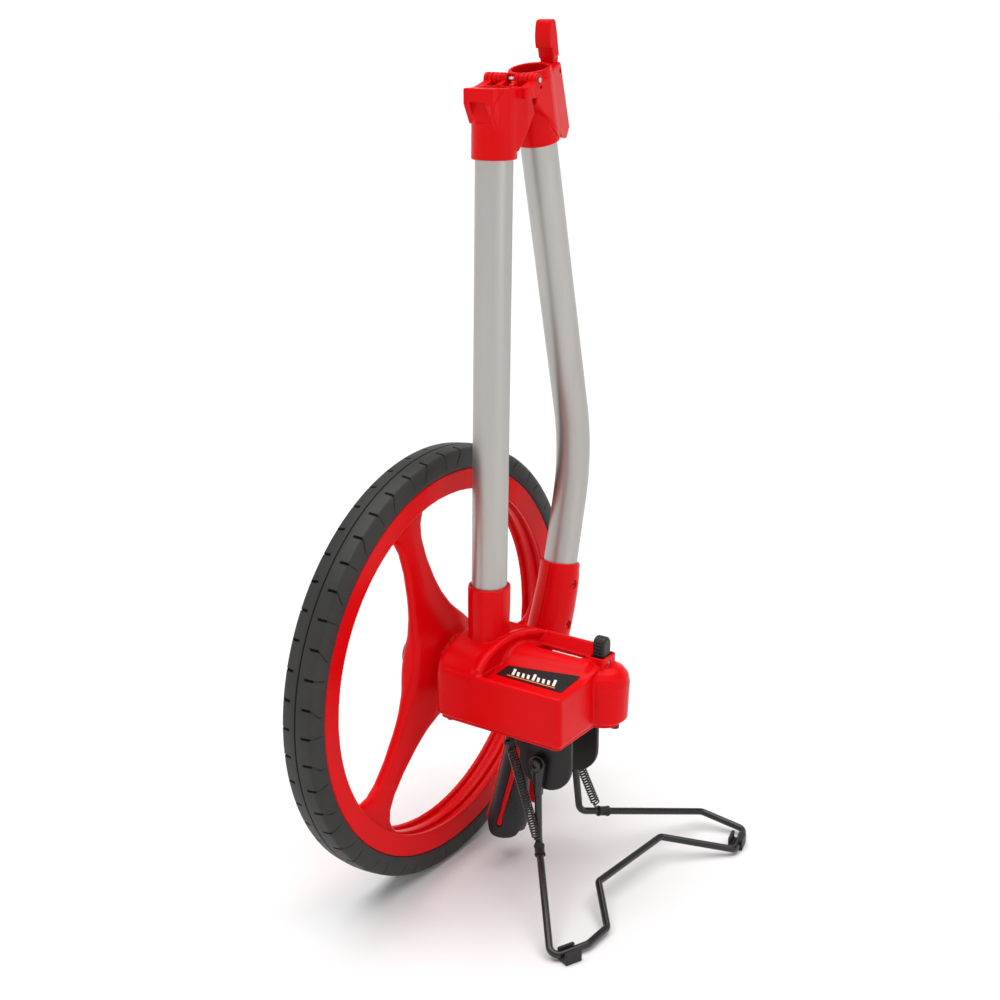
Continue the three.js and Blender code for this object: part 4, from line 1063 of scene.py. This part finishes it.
def spring_path(top, bottom, start, end, r, turns):
    """Coil between two hooks: one round the bar, one round the leg."""
    axis = (bottom - top).normalized()
    side = axis.cross(Vector((1, 0, 0))).normalized()
    up = axis.cross(side)
    length = (bottom - top).length
    pts = []
    for a in range(-150, 31, 15):
        w = math.radians(a)
        pts.append(top + axis * (2.2 * math.sin(w)) + side * (2.2 * math.cos(w)))
    pts.append(top + axis * start * 0.8 + side * 1.0)
    per = 18
    total = turns * per
    for k in range(total + 1):
        w = 2 * math.pi * k / per
        grow = min(1, k / 6, (total - k) / 6)
        rr = r * (0.35 + 0.65 * grow)
        pts.append(top + axis * (start + (length - start - end) * k / total) + side * (rr * math.cos(w))
                   + up * (rr * math.sin(w)))
    for a in range(-60, 181, 20):
        w = math.radians(a)
        pts.append(bottom + axis * (3.3 * math.sin(w) - 0.5) + side * (3.3 * math.cos(w)))
    return pts


for i, (top_x, hook) in enumerate(((18.0, hook_1), (-46.0, hook_2)), 1):
    top = Vector((top_x, *ANCHOR))
    coil = swept(spring_path(top, hook, 6, 6.5, 2.9, 36), 0.6, 7)
    obj = make(f"over_centre_spring_{i}", *coil, SPRING, None, [f"stand_spring_{i}"])
    finish_mesh(obj, 60)
    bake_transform(obj)


def bolt(name, node, cheek, lug, out):
    face = lug + out * 2.7
    tip = -abs(face - (cheek - out * 7))
    head = [(0, 0.9), (1.9, 0.9), (2.1, 1.1), (2.1, 2.2), (3.9, 2.2), (4.5, 1.7), (4.6, 0.6), (4.6, 0)]
    head += [(3, 0), (3, tip), (0, tip)]
    turned(name, head, (face, *PIVOT), (out, 0, 0), WIRE, "frame", [node], 36)


bolt("pivot_bolt_1", "stand_bolt_1", CHEEKS[0], LUGS[0], 1)
bolt("pivot_bolt_2", "stand_bolt_2", CHEEKS[1], LUGS[1], -1)
BAR = [(0, -51), (1.3, -51), (1.8, -50.4), (1.8, -47.8), (1.4, -47.4), (1.4, -44.8), (1.8, -44.4)]
BAR += [(1.8, 16.4), (1.4, 16.8), (1.4, 19.4), (1.8, 19.8), (1.8, 21.9), (1.3, 22.5), (0, 22.5)]
turned("spring_cross_bar", BAR, (0, *ANCHOR), (1, 0, 0), WIRE, "frame", ["spring_bar"], 24)
SCREW_HEAD = [(0, -1.2), (1.2, -1.2), (1.3, 0.7), (1.5, 1.0), (2.6, 0.9), (3.05, 0.5), (3.05, 0)]
SCREW_HEAD += [(1.5, 0), (1.5, -25.5), (0, -25.5)]
for k, (sx, sz) in enumerate(SCREWS, 1):
    turned(f"handle_screw_head_{k}", SCREW_HEAD, (sx, TUBE_Y + 13.7, sz), (0, 1, 0),
           RED_SATIN, "handle", [f"handle_screw_{k}"], 32)

# ---- number drums ---------------------------------------------------------------------------
DRUM_BODIES = ("counter_first", "counter_tens", "counter_hundreds", "counter_thousands", "counter_last")


def build_drums():
    for i, body in enumerate(DRUM_BODIES):
        y0 = 64.4 + 9.4 * i
        profile = [(1.8, 0), (8.3, 0), (8.8, 0.4), (8.8, 8.5), (8.3, 8.9), (1.8, 8.9)]
        finish = RED_SATIN if i == 0 else BLACK
        turned(f"drum_{i + 1}", profile, (SHAFT[0], y0, SHAFT[1]), (0, 1, 0), finish, body,
               [f"number_drum_{i + 1}"], 60)
        verts, faces = [], []
        for digit in range(10):
            curve = bpy.data.curves.new("digit", "FONT")
            curve.body = str(digit)
            curve.size = 5.6
            curve.align_x = "CENTER"
            curve.align_y = "CENTER"
            curve.extrude = 0.06
            temp = add_object("digit", curve)
            mesh = bpy.data.meshes.new_from_object(temp)
            first = len(verts)
            for v in mesh.vertices:
                a = math.radians(146 + 36 * digit) - v.co.y / 8.85
                r = 8.86 + v.co.z
                dx, dz = r * math.cos(a), r * math.sin(a)
                verts.append((SHAFT[0] + dx, y0 + 4.45 - v.co.x, SHAFT[1] + dz))
            faces += [tuple(first + k for k in p.vertices) for p in mesh.polygons]
            bpy.data.objects.remove(temp)
            bpy.data.meshes.remove(mesh)
            bpy.data.curves.remove(curve)
        make(f"drum_digits_{i + 1}", verts, faces, WHITE, body, smooth=False)


build_drums()

# ---- carried-over CAD nodes -----------------------------------------------------------------
KEPT = {
    STEEL: ("axle", "axle_nut", "axle_washer", "bearing_outer", "bearing_inner", "counter_shaft",
            "reset_pin", "stand_nut_1", "stand_nut_2", "trigger_pin", "hinge_pin", "drive_gear"),
    SPRING: ("latch_pin", *(f"base_screw_{k}" for k in (1, 2, 3, 4))),
    WHITE: ("counter_gear", "counter_frame"),
    CLEAR: ("counter_window",),
}
for material, names in KEPT.items():
    for name in names:
        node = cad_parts[name]
        node.data.materials.clear()
        node.data.materials.append(material)
        edge = node.modifiers.new("edge", "BEVEL")
        edge.width = 0.2 * MM
        edge.segments = 2
        edge.angle_limit = math.radians(40)

# ---- stage, light and camera ----------------------------------------------------------------
def area_light(name, place, target, size, watts):
    data = bpy.data.lights.new(name, "AREA")
    data.shape = "RECTANGLE"
    data.size, data.size_y = size
    data.energy = watts
    obj = add_object(name, data)
    obj.location = place
    obj.rotation_euler = (Vector(target) - Vector(place)).to_track_quat("-Z", "Y").to_euler()
    return obj


half_floor = 9.0
mesh = bpy.data.meshes.new("floor")
corners = [(u * half_floor, v * half_floor, 0) for u, v in ((-1, -1), (1, -1), (1, 1), (-1, 1))]
mesh.from_pydata(corners, [], [(0, 1, 2, 3)])
floor = add_object("floor", mesh)
paper = surface("floor_paper", (0.80, 0.80, 0.80), (0.82, 0.82, 0.82), (0.5, 0.6), 40, 0.0)
mesh.materials.append(paper)


def studio_world():
    """White studio: bright walls all round, and a dimmer ceiling."""
    world = bpy.data.worlds.new("studio")
    bpy.context.scene.world = world
    world.use_nodes = True
    nt = world.node_tree
    where = nt.nodes.new("ShaderNodeTexCoord")
    toward = nt.nodes.new("ShaderNodeVectorMath")
    toward.operation = "DOT_PRODUCT"
    toward.inputs[1].default_value = (0, 0, 1)
    level = nt.nodes.new("ShaderNodeMapRange")
    put(level, {"From Min": 0.2, "From Max": 0.5, "To Min": 1.05, "To Max": 0.24})
    join(where, "Generated", toward, 0)
    join(toward, "Value", level, "Value")
    join(level, "Result", nt.nodes["Background"], "Strength")
    put(nt.nodes["Background"], {"Color": (1, 1, 1, 1)})


studio_world()
middle = (0, 0.05, 0.3)
area_light("key", (0.9, -0.5, 1.9), middle, (1.0, 1.0), 6)
sun = bpy.data.lights.new("ceiling", "SUN")
sun.energy = 3.1
sun.angle = math.radians(70)
add_object("ceiling", sun)
area_light("fill", (0.1, 1.9, 1.0), middle, (0.7, 1.2), 4)

CAMERA_AT = Vector((827.8, 608.2, 612.6)) * MM
LOOK_AT = Vector((0, 53.5, 290.2)) * MM
camera_data = bpy.data.cameras.new("camera")
camera_data.lens = 55.06
camera_data.sensor_width = 36
camera_data.clip_start = 0.05
camera_data.clip_end = 30
camera = add_object("camera", camera_data)
camera.location = CAMERA_AT
camera.rotation_euler = (LOOK_AT - CAMERA_AT).to_track_quat("-Z", "Y").to_euler()
bpy.context.scene.camera = camera
bpy.context.scene.view_settings.view_transform = "Standard"
